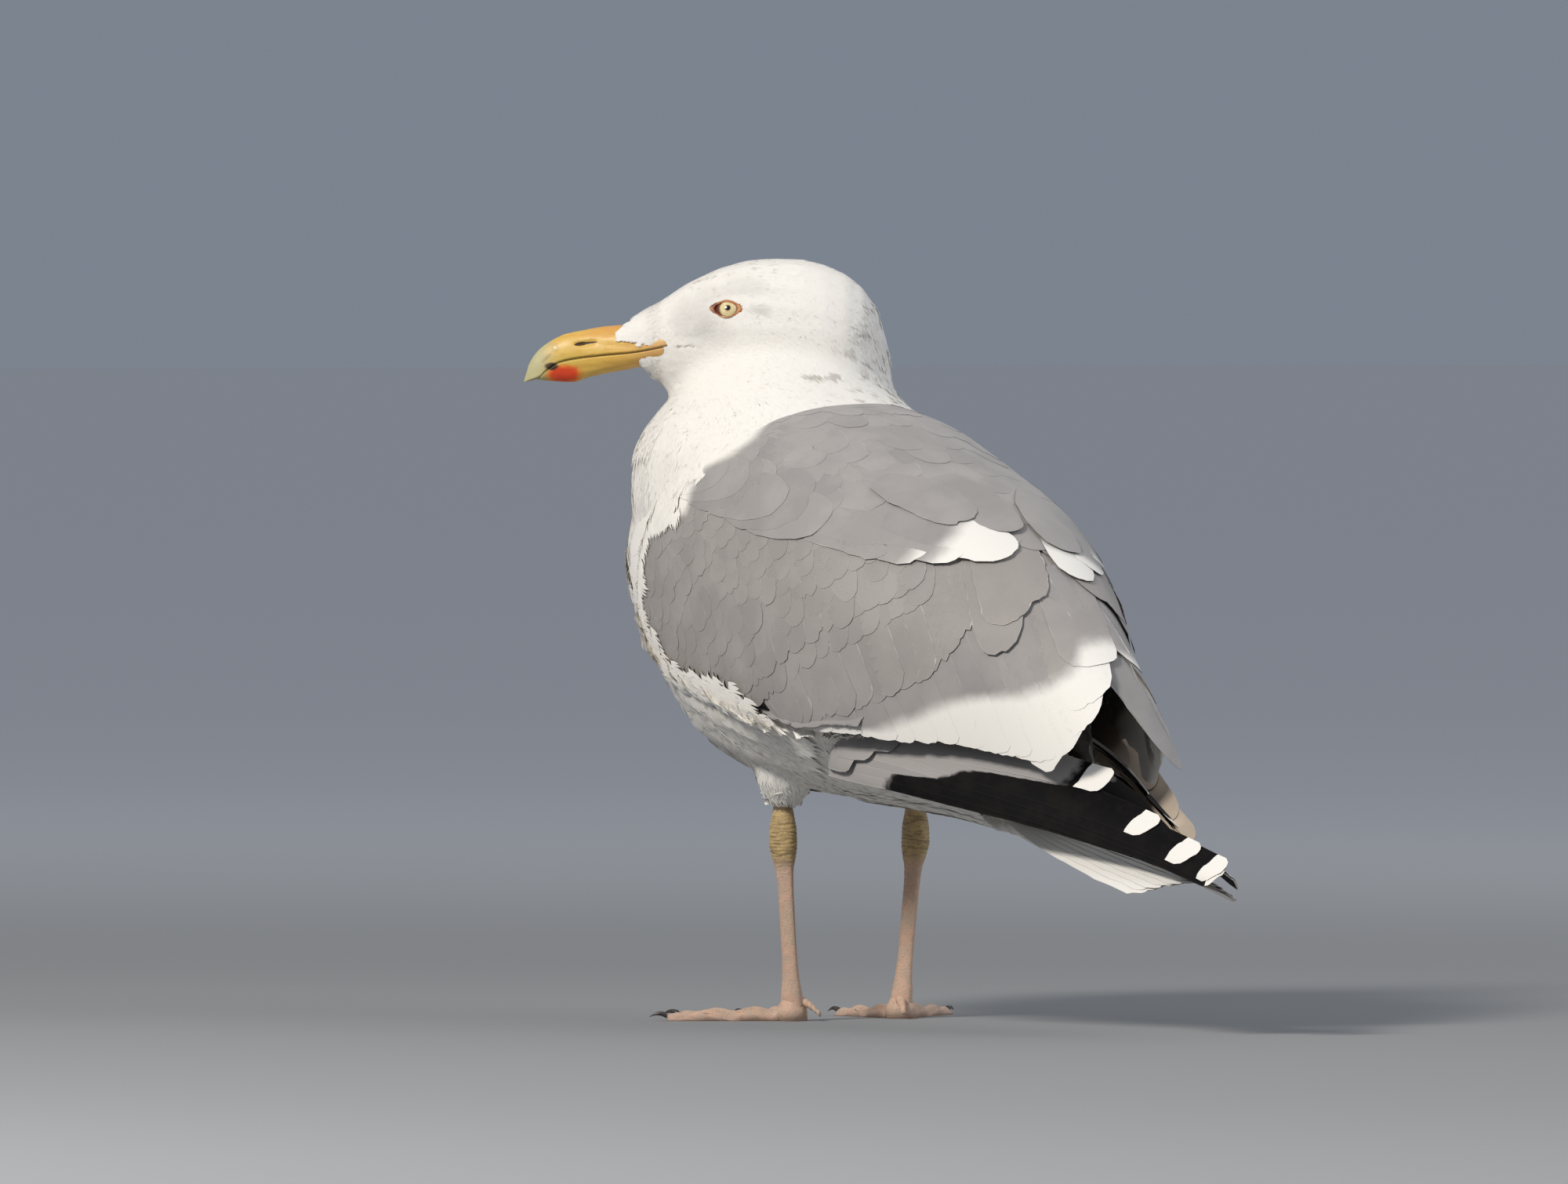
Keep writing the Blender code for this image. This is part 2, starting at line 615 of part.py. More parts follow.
def make_foot(side, finish):
    def place(turn, reach, height):
        heading = TOE_OUT + turn
        flat = Vector((FOOT_JOINT.x + math.sin(heading) * reach, FOOT_JOINT.y - math.cos(heading) * reach, height))
        return on_side(side, [[flat]], STANCE)[0][0]

    def build(shape):
        angles = foot_angles()
        shares = (0.12, 0.27, 0.47, 0.67, 0.86, 1.0)
        top_middle = shape.verts.new(place(0.0, 0.0, BALL_HEIGHT))
        low_middle = shape.verts.new(place(0.0, 0.0, 0.0))
        rows = []
        for turn in angles:
            edge = foot_reach(turn)
            row = [shape.verts.new(place(turn, edge * t, foot_height(turn, edge * t))) for t in shares]
            rows.append(row + [shape.verts.new(place(turn, edge, 0.0))])
        for row, after in zip(rows, rows[1:] + rows[:1]):
            shape.faces.new((top_middle, row[0], after[0]))
            shape.faces.new((low_middle, after[-1], row[-1]))
            for n in range(len(row) - 1):
                shape.faces.new((row[n], row[n + 1], after[n + 1], after[n]))

    return new_object("foot_" + side, build, finish)


def make_claw(side, toe, finish):
    forward = toe_direction(toe)
    across = Vector((-forward.y, forward.x, 0.0))
    root = Vector((FOOT_JOINT.x, FOOT_JOINT.y, 0.0)) + forward * (TOE_LENGTHS[toe] + GAP)
    rings = []
    for t in steps(0.0, 1.0, 4):
        bend = 0.0022 + 0.0012 * math.sin(math.pi * 0.8 * t) - 0.0012 * t**2
        girth = 0.0014 * (1 - 0.85 * t)
        rings.append(ring_at(root + forward * (CLAW_LENGTH * t) + Vector((0, 0, bend)), across, Vector((0, 0, 1)),
                             girth, girth, girth, segments=6))
    return loft("claw_" + side + "_" + toe, on_side(side, rings, STANCE), finish)


def make_hind_toe(side, finish):
    """The small raised toe at the back of the foot."""
    forward = toe_direction("middle")
    across = Vector((-forward.y, forward.x, 0.0))
    root = FOOT_JOINT - forward * 0.0060 - across * 0.001
    rings = []
    for t in steps(0.0, 1.0, 4):
        place = root - forward * (0.0075 * t) - Vector((0, 0, 0.0050 * t**1.5))
        girth = 0.0019 * (1 - 0.55 * t)
        rings.append(ring_at(place, across, Vector((0, 0, 1)), girth, girth, girth, segments=7))
    return loft("hind_toe_" + side, on_side(side, rings, STANCE), finish)


# ---------------------------------------------------------------- build
def make_gull():
    body_white = material("body_plumage", (0.86, 0.85, 0.82), 0.8)
    white = material("white_feathers", (0.84, 0.83, 0.80), 0.8)
    grey = material("grey_feathers", (0.42, 0.41, 0.42), 0.75)
    black = material("black_primaries", (0.02, 0.02, 0.022), 0.5)
    horn = material("bill_horn", (0.83, 0.60, 0.16), 0.35)
    iris = material("iris", (0.80, 0.70, 0.42), 0.12)
    leg_skin = material("leg_skin", (0.70, 0.52, 0.45), 0.6)
    claw_horn = material("claw_horn", (0.06, 0.05, 0.045), 0.4)

    trunk = make_trunk(body_white)
    rump = make_rump(white)
    neck = make_neck(body_white)
    head = make_head(body_white)
    upper, lower = make_upper_bill(horn), make_lower_bill(horn)
    mantle = mantle_slab("mantle", grey)
    tail = make_tail(white)
    wings, tertials, primaries, thighs, shanks, feet, hinds = {}, {}, {}, {}, {}, {}, {}
    for side in ("left", "right"):
        eye = make_eye(side, iris)
        cut(head, grown(eye))
        wings[side] = make_wing(side, grey)
        tertials[side] = make_tertials(side, grey)
        primaries[side] = make_primaries(side, black)
        thighs[side] = make_thigh(side, body_white)
        shanks[side] = make_shank(side, leg_skin)
        feet[side] = make_foot(side, leg_skin)
        hinds[side] = make_hind_toe(side, leg_skin)
        for toe in TOE_LENGTHS:
            make_claw(side, toe, claw_horn)

    trunk_cutter, neck_cutter = grown(trunk), grown(neck)
    mantle_cutter, mantle_pocket = grown(mantle), helper(mantle_slab("mantle_pocket", None, 2 * GAP))
    upper_cutter = grown(upper)
    cut(lower, upper_cutter)
    cut(head, neck_cutter, make_bill_socket())
    cut(neck, mantle_pocket)
    cut(trunk, mantle_pocket)
    cut(rump, mantle_pocket)
    tail_cutter = grown(tail)
    for side in ("left", "right"):
        wing_cutter, tertial_cutter = grown(wings[side]), grown(tertials[side])
        primary_cutter, thigh_cutter, shank_cutter = grown(primaries[side]), grown(thighs[side]), grown(shanks[side])
        cut(neck, wing_cutter)
        cut(wings[side], mantle_cutter)
        cut(tertials[side], mantle_cutter)
        cut(primaries[side], wing_cutter, tertial_cutter)
        cut(trunk, wing_cutter, primary_cutter, thigh_cutter)
        cut(rump, wing_cutter, tertial_cutter, primary_cutter)
        cut(thighs[side], shank_cutter)
        cut(trunk, shank_cutter)
        cut(tail, primary_cutter)
    cut(rump, tail_cutter)
    cut(neck, trunk_cutter)


def centre_on_floor():
    """Moves every solid and cutter alike, so that z = 0 is touched under the middle of the whole bird."""
    solids = [o for o in bpy.data.objects if o.type == "MESH" and not o.hide_render]
    corners = [v.co for o in solids for v in o.data.vertices]
    middle = [(min(c[i] for c in corners) + max(c[i] for c in corners)) / 2 for i in (0, 1)]
    for obj in bpy.data.objects:
        obj.data.transform(Matrix.Translation((-middle[0], -middle[1], 0.0)))


clear_scene()
make_gull()
centre_on_floor()
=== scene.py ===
# Standing adult herring gull, the looks: skin, coat, modelled feathers, bill, eyes, legs and claws,
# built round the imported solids. The bird faces -Y with its head turned to its left (+X).
import json
import math

import bmesh
import bpy
import numpy as np
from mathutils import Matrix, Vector
from mathutils.bvhtree import BVHTree

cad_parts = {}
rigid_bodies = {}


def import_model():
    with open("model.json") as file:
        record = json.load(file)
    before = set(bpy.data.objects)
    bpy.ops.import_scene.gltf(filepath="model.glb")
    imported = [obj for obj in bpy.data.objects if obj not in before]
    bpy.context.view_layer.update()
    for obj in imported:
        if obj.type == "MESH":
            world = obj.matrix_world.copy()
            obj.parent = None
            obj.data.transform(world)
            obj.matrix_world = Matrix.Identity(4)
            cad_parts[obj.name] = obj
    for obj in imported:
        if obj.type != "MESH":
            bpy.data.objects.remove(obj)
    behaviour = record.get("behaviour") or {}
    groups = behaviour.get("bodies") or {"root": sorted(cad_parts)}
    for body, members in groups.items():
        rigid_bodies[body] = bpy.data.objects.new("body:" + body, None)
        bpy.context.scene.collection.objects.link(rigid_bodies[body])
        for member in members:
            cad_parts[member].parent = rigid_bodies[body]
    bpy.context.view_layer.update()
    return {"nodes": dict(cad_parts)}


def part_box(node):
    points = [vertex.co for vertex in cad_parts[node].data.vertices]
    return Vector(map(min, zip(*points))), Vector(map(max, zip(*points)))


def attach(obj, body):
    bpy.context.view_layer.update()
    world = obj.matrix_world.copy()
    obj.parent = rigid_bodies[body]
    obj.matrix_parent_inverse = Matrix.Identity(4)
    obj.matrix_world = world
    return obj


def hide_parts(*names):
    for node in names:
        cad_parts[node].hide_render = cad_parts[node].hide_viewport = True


for leftover in list(bpy.data.objects):
    bpy.data.objects.remove(leftover)
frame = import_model()
nodes = frame["nodes"]
sides = ((1, "left"), (-1, "right"))


# small tools for arrays of places
def ease(value, start, end):
    t = np.clip((np.asarray(value, float) - start) / (end - start), 0.0, 1.0)
    return t * t * (3 - 2 * t)


def unit(vectors):
    return vectors / np.maximum(np.linalg.norm(vectors, axis=-1, keepdims=True), 1e-12)


def hump(value, middle, reach):
    # a bell that is 1 at its middle
    return np.exp(-(((value - middle) / reach) ** 2))


def circle(count):
    return np.linspace(0, 2 * math.pi, count, endpoint=False)[None, :]


def through(keys, at, column=1):
    # smooth curve through (place, value) keys, with no overshoot between them
    places, values = np.array(keys, float).T[[0, column]]
    at = np.clip(np.asarray(at, float), places[0], places[-1])
    slopes = np.diff(values) / np.diff(places)
    before, after = slopes[:-1], slopes[1:]
    same = before * after > 0
    turns = np.where(same, 2 * before * after / np.where(same, before + after, 1.0), 0.0)
    turns = np.concatenate([slopes[:1], turns, slopes[-1:]])
    i = np.clip(np.searchsorted(places, at, side="right") - 1, 0, len(slopes) - 1)
    span = places[i + 1] - places[i]
    t = (at - places[i]) / span
    return (
        values[i] * (2 * t**3 - 3 * t**2 + 1)
        + turns[i] * span * (t**3 - 2 * t**2 + t)
        + values[i + 1] * (3 * t**2 - 2 * t**3)
        + turns[i + 1] * span * (t**3 - t**2)
    )


def squared(value, power):
    return np.sign(value) * np.abs(value) ** (2 / power)


def wobble(places, size, seed=0.0):
    # smooth made-up variation between -1 and 1 over space, with features about this size
    p = np.asarray(places) / size + seed
    x, y, z = p[..., 0], p[..., 1], p[..., 2]
    total = np.sin(x * 2.1 + 1.7 * np.sin(y * 1.3 + 0.5)) + np.sin(y * 2.3 + 1.6 * np.sin(z * 1.5 + 1.1))
    total += np.sin(z * 1.9 + 1.5 * np.sin(x * 1.7 + 2.3)) + 0.6 * np.sin((x + y - z) * 3.3)
    return total / 3.6


# the head's own directions, and the move from the sizes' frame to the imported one
head = {
    "turn": math.radians(55),
    "centre": (0.01, -0.046, 0.295),
    "eyeAhead": 0.0156,
    "eyeOut": 0.016,
    "eyeUp": 0.007,
    "eyeRadius": 0.0072,
}
forward = np.array([math.sin(head["turn"]), -math.cos(head["turn"]), 0.0])
leftward = np.array([math.cos(head["turn"]), math.sin(head["turn"]), 0.0])
upward = np.array([0.0, 0.0, 1.0])


def boxMiddle(node):
    low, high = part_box(node)
    return np.array((low + high) / 2)


eyeMiddle = boxMiddle("eye_left")
headCentre = eyeMiddle - forward * head["eyeAhead"] - leftward * head["eyeOut"] - upward * head["eyeUp"]
origin = headCentre - np.array(head["centre"])


def headPoint(ahead, left, up):
    ahead, left, up = np.broadcast_arrays(ahead, left, up)
    return headCentre + ahead[..., None] * forward + left[..., None] * leftward + up[..., None] * upward


def inHead(places):
    offset = np.asarray(places) - headCentre
    return offset @ forward, offset @ leftward, offset @ upward


# the tilted hull that trunk, mantle and folded wings share
hull = {
    "pitch": math.radians(28),
    "axisHeight": 0.18,
    "front": -0.123,
    "breastRound": 0.09,
    "squareness": 2.3,
    "width": [(-0.123, 0.07), (-0.06, 0.073), (0.0, 0.078), (0.05, 0.078), (0.1, 0.07),
              (0.15, 0.053), (0.19, 0.037), (0.225, 0.028)],
    "middle": [(-0.123, -0.01), (0.0, 0.0), (0.1, 0.006), (0.225, 0.01)],
    "rise": [(-0.123, 0.054), (-0.08, 0.062), (-0.038, 0.077), (0.0, 0.0835), (0.06, 0.0845),
             (0.12, 0.079), (0.175, 0.067), (0.225, 0.055)],
    "drop": [(-0.123, 0.052), (-0.08, 0.056), (-0.05, 0.065), (0.0, 0.084), (0.042, 0.076),
             (0.097, 0.055), (0.133, 0.042), (0.18, 0.028), (0.225, 0.016)],
    "mantleAngle": [(-0.046, 58), (0.02, 52), (0.08, 41), (0.105, 32), (0.12, 17), (0.128, 6)],
    "wingLowAngle": [(-0.056, 108), (-0.022, 119), (0.018, 113), (0.06, 112), (0.081, 112), (0.105, 103),
                     (0.122, 96), (0.15, 88), (0.206, 74)],
    # where the grey plumage starts, by the angle from the ridge
    "greyFront": [(0, -0.05), (18, -0.052), (30, -0.04), (42, -0.033), (50, -0.036), (58, -0.042),
                  (65, -0.04), (72, -0.036), (77, -0.044), (82, -0.055), (90, -0.06), (100, -0.05),
                  (108, -0.04), (113, -0.02), (122, -0.004), (128, 0.004)],
    # how much closer the right side's feathers lie to the tail than the left side's
    "rightTuck": [(0.07, 0.0), (0.11, 0.0028), (0.14, 0.0062), (0.17, 0.0085), (0.2, 0.0088),
                  (0.225, 0.006)],
    "step": 0.0015,
    "reach": 0.165,
}
bodyAxis = np.array([0.0, math.cos(hull["pitch"]), -math.sin(hull["pitch"])])
bodyUp = np.array([0.0, math.sin(hull["pitch"]), math.cos(hull["pitch"])])
hullMiddle = origin + np.array([0.0, 0.0, hull["axisHeight"]])


def halfWidth(along, onRight):
    return through(hull["width"], along) - np.where(onRight, through(hull["rightTuck"], along), 0.0)


def hullReach(along, over, least=0.0):
    # how far the hull reaches over or under its axis, and how much the breast's round front narrows it
    k = np.clip((along - hull["front"]) / hull["breastRound"], least, 1.0)
    roundOff = np.sqrt(1 - (1 - k) ** 2)
    return np.where(over, through(hull["rise"], along), through(hull["drop"], along)) * roundOff, roundOff


def hullPoint(along, angle):
    along, angle = np.broadcast_arrays(along, angle)
    height = squared(np.cos(angle), hull["squareness"])
    reach, roundOff = hullReach(along, height > 0)
    side = squared(np.sin(angle), hull["squareness"]) * halfWidth(along, angle < 0) * roundOff
    rise = through(hull["middle"], along) + reach * height
    middle = hullMiddle + side[..., None] * [1.0, 0.0, 0.0]
    return middle + along[..., None] * bodyAxis + rise[..., None] * bodyUp


# a chart of the hull: distance along the trunk, and distance round it from the ridge, left positive
chartAlong = np.arange(-0.1, 0.2401, hull["step"])
chartRound = np.arange(-hull["reach"], hull["reach"] + 1e-6, hull["step"])
chartAngles = np.radians(np.arange(0.0, 180.01, 0.5))
arcTable = []
chartPoints = np.zeros((len(chartAlong), len(chartRound), 3))
for row, along in enumerate(chartAlong):
    ring = hullPoint(along, chartAngles)
    arc = np.concatenate([[0.0], np.cumsum(np.linalg.norm(np.diff(ring, axis=0), axis=1))])
    arcTable.append(arc)
    angleAt = np.interp(np.abs(chartRound), arc, chartAngles)
    chartPoints[row] = hullPoint(along, np.copysign(angleAt, chartRound))
arcTable = np.array(arcTable)
chartNormals = unit(np.cross(np.gradient(chartPoints, axis=1), np.gradient(chartPoints, axis=0)))


def roundAt(along, degrees):
    # distance round the hull from its ridge to an angle
    row = np.rint((along - chartAlong[0]) / hull["step"]).astype(int).clip(0, len(chartAlong) - 1)
    column = np.rint(np.abs(degrees) * 2).astype(int).clip(0, len(chartAngles) - 1)
    return arcTable[row, column] * np.sign(degrees)


def onHull(along, around, lift=0.0):
    # the hull's surface read from the chart, raised by the lift, and its outward direction
    u = np.clip((along - chartAlong[0]) / hull["step"], 0, len(chartAlong) - 1.001)
    v = np.clip((around - chartRound[0]) / hull["step"], 0, len(chartRound) - 1.001)
    i, j = u.astype(int), v.astype(int)
    fu, fv = (u - i)[..., None], (v - j)[..., None]

    def mixed(table):
        low = table[i, j] * (1 - fv) + table[i, j + 1] * fv
        high = table[i + 1, j] * (1 - fv) + table[i + 1, j + 1] * fv
        return low * (1 - fu) + high * fu

    normal = unit(mixed(chartNormals))
    return mixed(chartPoints) + normal * np.asarray(lift)[..., None], normal


def hullPlace(places):
    # the other way: distance along the hull, and degrees from its ridge with left positive
    offset = np.asarray(places) - origin - np.array([0.0, 0.0, hull["axisHeight"]])
    along = offset @ bodyAxis
    rise = offset @ bodyUp - through(hull["middle"], along)
    reach, roundOff = hullReach(along, rise > 0, 0.02)
    side = offset[:, 0] / (halfWidth(along, offset[:, 0] < 0) * roundOff)
    rise = rise / reach
    back = hull["squareness"] / 2
    angle = np.arctan2(np.abs(side) ** back, np.sign(rise) * np.abs(rise) ** back)
    return along, np.degrees(angle) * np.sign(side)


# meshes from arrays
def linked(name, data):
    made = bpy.data.objects.new(name, data)
    bpy.context.scene.collection.objects.link(made)
    return made


def newPiece(name, points, faceSets, material=None, values=None, flat=None, smooth=True, facing=None):
    # faceSets lists arrays with rows of three or four corners; flat is each point's place on the map,
    # and facing its shading normal
    mesh = bpy.data.meshes.new(name)
    points = np.asarray(points, np.float32).reshape(-1, 3)
    mesh.vertices.add(len(points))
    mesh.vertices.foreach_set("co", points.ravel())
    corners = np.concatenate([np.asarray(f, np.int32).ravel() for f in faceSets])
    sizes = np.concatenate([np.full(len(f), np.asarray(f).shape[1], np.int32) for f in faceSets])
    mesh.loops.add(len(corners))
    mesh.loops.foreach_set("vertex_index", corners)
    mesh.polygons.add(len(sizes))
    mesh.polygons.foreach_set("loop_start", np.concatenate([[0], np.cumsum(sizes)[:-1]]).astype(np.int32))
    mesh.update(calc_edges=True)
    for key, value in (values or {}).items():
        value = np.asarray(value, np.float32)
        kind, field = ("FLOAT", "value") if value.ndim == 1 else ("FLOAT_VECTOR", "vector")
        mesh.attributes.new(key, kind, "POINT").data.foreach_set(field, value.ravel())
    if flat is not None:
        layer = mesh.uv_layers.new(name="OFBake")
        layer.data.foreach_set("uv", np.asarray(flat, np.float32).reshape(-1, 2)[corners].ravel())
    if smooth:
        mesh.polygons.foreach_set("use_smooth", np.ones(len(sizes), bool))
    mesh.validate()
    if facing is not None:
        mesh.normals_split_custom_set_from_vertices(np.asarray(facing, np.float32).reshape(-1, 3))
    if material:
        mesh.materials.append(material)
    return linked(name, mesh)


def arraysOf(piece):
    # corner places and triangles of an object's mesh as the viewport shows it
    shown = piece.evaluated_get(bpy.context.evaluated_depsgraph_get())
    mesh = shown.to_mesh()
    mesh.calc_loop_triangles()
    points = np.zeros(len(mesh.vertices) * 3, np.float32)
    mesh.vertices.foreach_get("co", points)
    triangles = np.zeros(len(mesh.loop_triangles) * 3, np.int32)
    mesh.loop_triangles.foreach_get("vertices", triangles)
    shown.to_mesh_clear()
    return points.reshape(-1, 3).astype(float), triangles.reshape(-1, 3)


def gridFaces(rows, columns, closed=False):
    # four-cornered faces of a grid of points, row by row; closed joins the last column to the first
    i, j = np.meshgrid(np.arange(rows - 1), np.arange(columns if closed else columns - 1), indexing="ij")
    k = (j + 1) % columns
    row, after = i * columns, (i + 1) * columns
    return np.stack([row + j, row + k, after + k, after + j], -1).reshape(-1, 4)


def tubeFaces(rows, columns):
    # a closed grid with a fan at each end, whose two middles follow the grid's points
    around = np.arange(columns)
    after = (around + 1) % columns
    first = np.full(columns, rows * columns)
    last = first - columns
    endOne = np.stack([first, after, around], -1)
    endTwo = np.stack([first + 1, last + around, last + after], -1)
    return [gridFaces(rows, columns, closed=True), np.concatenate([endOne, endTwo])]


def withEnds(rings):
    # the rings' points followed by the middles of the first and the last
    return np.concatenate([rings.reshape(-1, 3), rings[:1].mean(1), rings[-1:].mean(1)])


def turnedOut(piece):
    shape = bmesh.new()
    shape.from_mesh(piece.data)
    bmesh.ops.recalc_face_normals(shape, faces=shape.faces)
    shape.to_mesh(piece.data)
    shape.free()
    return piece


def joinedArrays(sets):
    # several (points, faceSets) groups as one
    points, faces, start = [], [], 0
    for somePoints, someFaces in sets:
        points.append(np.asarray(somePoints).reshape(-1, 3))
        faces += [np.asarray(f) + start for f in someFaces]
        start += len(points[-1])
    return np.concatenate(points), faces


# shader expressions
class Wire:
    # one socket of a material; arithmetic on it adds Math nodes
    def __init__(self, tree, socket=None):
        self.tree, self.socket = tree, socket

    def node(self, kind, settings=None, sockets=None, out=0):
        made = self.tree.nodes.new(kind)
        for key, value in (settings or {}).items():
            setattr(made, key, value)
        for key, value in (sockets or {}).items():
            if isinstance(value, Wire):
                self.tree.links.new(value.socket, made.inputs[key])
            else:
                made.inputs[key].default_value = value
        return Wire(self.tree, made.outputs[out] if len(made.outputs) else None)

    def maths(self, operation, first, second=0.0):
        return self.node("ShaderNodeMath", {"operation": operation}, {0: first, 1: second})

    def __add__(self, other):
        return self.maths("ADD", self, other)

    def __sub__(self, other):
        return self.maths("SUBTRACT", self, other)

    def __mul__(self, other):
        return self.maths("MULTIPLY", self, other)

    def __truediv__(self, other):
        return self.maths("DIVIDE", self, other)

    def __pow__(self, other):
        return self.maths("POWER", self, other)

    def __rsub__(self, other):
        return self.maths("SUBTRACT", other, self)

    __radd__, __rmul__ = __add__, __mul__

    def abs(self):
        return self.maths("ABSOLUTE", self)

    def sine(self):
        return self.maths("SINE", self)

    def least(self, other):
        return self.maths("MINIMUM", self, other)

    def between(self, low, high, toLow=0.0, toHigh=1.0):
        # smooth step from low to high, to the given values
        limits = {"Value": self, "From Min": low, "From Max": high, "To Min": toLow, "To Max": toHigh}
        return self.node("ShaderNodeMapRange", {"interpolation_type": "SMOOTHSTEP"}, limits)

    def value(self, name):
        return self.node("ShaderNodeAttribute", {"attribute_name": name}, out=2)

    def spot(self, name):
        return self.node("ShaderNodeAttribute", {"attribute_name": name}, out=1)

    def place(self):
        return self.node("ShaderNodeTexCoord", out=3)

    def dot(self, direction):
        return self.node("ShaderNodeVectorMath", {"operation": "DOT_PRODUCT"},
                         {0: self, 1: tuple(direction)}, out=1)

    def scaled(self, factors):
        return self.node("ShaderNodeVectorMath", {"operation": "MULTIPLY"}, {0: self, 1: tuple(factors)})

    def noise(self, where, scale, detail=2.0, rough=0.5):
        return self.node("ShaderNodeTexNoise", {},
                         {"Vector": where, "Scale": scale, "Detail": detail, "Roughness": rough})

    def mix(self, share, first, second):
        first, second = (c if isinstance(c, Wire) else (*c, 1.0) for c in (first, second))
        return self.node("ShaderNodeMix", {"data_type": "RGBA"}, {0: share, 6: first, 7: second}, out=2)

    def layered(self, colour, *layers):
        # colours laid over one another, each by its own share
        for share, over in layers:
            colour = self.mix(share, colour, over)
        return colour

    def bump(self, height, strength, distance):
        return self.node("ShaderNodeBump", {},
                         {"Height": height, "Strength": strength, "Distance": distance})


def newMaterial(name):
    made = bpy.data.materials.new(name)
    made.use_nodes = True
    made.node_tree.nodes.clear()
    return made, Wire(made.node_tree)


def surface(wire, colour, rough, **sockets):
    # the material's shader; the rarer sockets have short names here
    given = {"Base Color": colour, "Roughness": rough}
    longNames = {"normal": "Normal", "sheen": "Sheen Weight", "sheenRough": "Sheen Roughness",
                 "coat": "Coat Weight", "coatRough": "Coat Roughness", "shine": "Specular IOR Level",
                 "inner": "Subsurface Weight", "innerScale": "Subsurface Scale"}
    given.update({longNames[key]: value for key, value in sockets.items()})
    shader = wire.node("ShaderNodeBsdfPrincipled", {}, given)
    wire.node("ShaderNodeOutputMaterial", {}, {"Surface": shader})


# camera, floor and light
studio = {
    "azimuth": 146,
    "distance": 9.0,
    "frameWidth": 0.67,
    "eyeLevel": 0.3135,
    "aimHeight": 0.1826,
    "aimAside": -0.0268,
    "floorColour": (0.66, 0.678, 0.706),
    "floorNear": (0.27, 0.275, 0.28),
    "horizonColour": (0.2, 0.229, 0.277),
    "zenithColour": (0.345, 0.36, 0.395),
    "lampDistance": 2.6,
    # turn from the camera and rise in degrees, size, power and colour
    "lamps": {
        "keyLight": (40, 37, 0.55, 57, (1.0, 0.96, 0.9)),
        "fillLight": (-70, 26, 2.0, 21, (0.92, 0.96, 1.0)),
        "backLight": (210, 40, 2.0, 8, (1.0, 0.98, 0.95)),
    },
}


def makeStudio():
    scene = bpy.context.scene
    azimuth = math.radians(studio["azimuth"])
    toCamera = Vector((math.sin(azimuth), -math.cos(azimuth), 0.0))
    aside = Vector((math.cos(azimuth), math.sin(azimuth), 0.0))
    aim = Vector(origin) + aside * studio["aimAside"]
    aim.z = studio["aimHeight"]
    camera = linked("camera", bpy.data.cameras.new("camera"))
    camera.location = aim + toCamera * studio["distance"]
    camera.location.z = studio["eyeLevel"]
    camera.rotation_euler = (aim - camera.location).to_track_quat("-Z", "Y").to_euler()
    camera.data.sensor_width = 36
    camera.data.lens = 36 * studio["distance"] / studio["frameWidth"]
    camera.data.clip_end = 200
    scene.camera = camera
    scene.view_settings.view_transform = "Standard"

    floorPaint, wire = newMaterial("floorPaint")
    away = wire.node("ShaderNodeVectorMath", {"operation": "LENGTH"}, {0: wire.place()}, out=1)
    # the floor is painted darker near the bird and paler far off; the paler far floor is painted light that
    # makes up for the lamps' falloff, so that it meets the sky
    colour = wire.mix(away.between(0.6, 4.0), studio["floorNear"], studio["floorColour"])
    surface(wire, colour, 0.9, shine=0.1)
    corners = [(60 * x, 60 * y, 0) for x, y in ((-1, -1), (1, -1), (1, 1), (-1, 1))]
    floor = newPiece("floor", corners, [[(0, 1, 2, 3)]], floorPaint, smooth=False)

    world = bpy.data.worlds.new("softRoom")
    world.use_nodes = True
    world.node_tree.nodes.clear()
    sky = Wire(world.node_tree)
    rise = sky.node("ShaderNodeTexCoord", out=0).dot((0.0, 0.0, 1.0))
    glow = sky.mix(rise.between(0.08, 0.9), studio["horizonColour"], studio["zenithColour"])
    lit = sky.node("ShaderNodeBackground", {}, {"Color": glow})
    sky.node("ShaderNodeOutputWorld", {}, {"Surface": lit})
    scene.world = world

    for name, (turn, rise, size, power, colour) in studio["lamps"].items():
        heading, height = azimuth - math.radians(turn), math.radians(rise)
        flat = math.cos(height)
        towards = Vector((math.sin(heading) * flat, -math.cos(heading) * flat, math.sin(height)))
        lamp = linked(name, bpy.data.lights.new(name, "AREA"))
        lamp.data.size, lamp.data.energy, lamp.data.color = size, power, colour
        lamp.location = aim + towards * studio["lampDistance"]
        lamp.rotation_euler = (-towards).to_track_quat("-Z", "Y").to_euler()


makeStudio()
print("studio is set")

# the closed shell of the whole bird, which skin and coat are read from
fleshNodes = ["trunk", "rump", "neck", "head", "thigh_left", "thigh_right"]
legNodes = [part + "_" + word for part in ("shank", "foot", "hind_toe") for side, word in sides]
coverNodes = ["mantle", "wing_left", "wing_right"]
shellSet = {
    "voxel": 0.0016,
    "coarseVoxel": 0.004,
    "smoothing": 4,
    "creaseTurns": 90,
    "throat": 0.0042,
}


def remeshed(name, points, faces, voxel, smoothing):
    rough = newPiece(name, points, faces)
    change = rough.modifiers.new("remesh", "REMESH")
    change.mode, change.voxel_size, change.adaptivity = "VOXEL", voxel, 0.0
    if smoothing:
        after = rough.modifiers.new("smooth", "SMOOTH")
        after.factor, after.iterations = 0.5, smoothing
    newPoints, newTriangles = arraysOf(rough)
    bpy.data.objects.remove(rough)
    return newPoints, newTriangles


def pointNormals(points, triangles):
    a, b, c = (points[triangles[:, k]] for k in range(3))
    faceNormals = np.cross(b - a, c - a)
    total = np.zeros_like(points)
    for k in range(3):
        np.add.at(total, triangles[:, k], faceNormals)
    return unit(total)


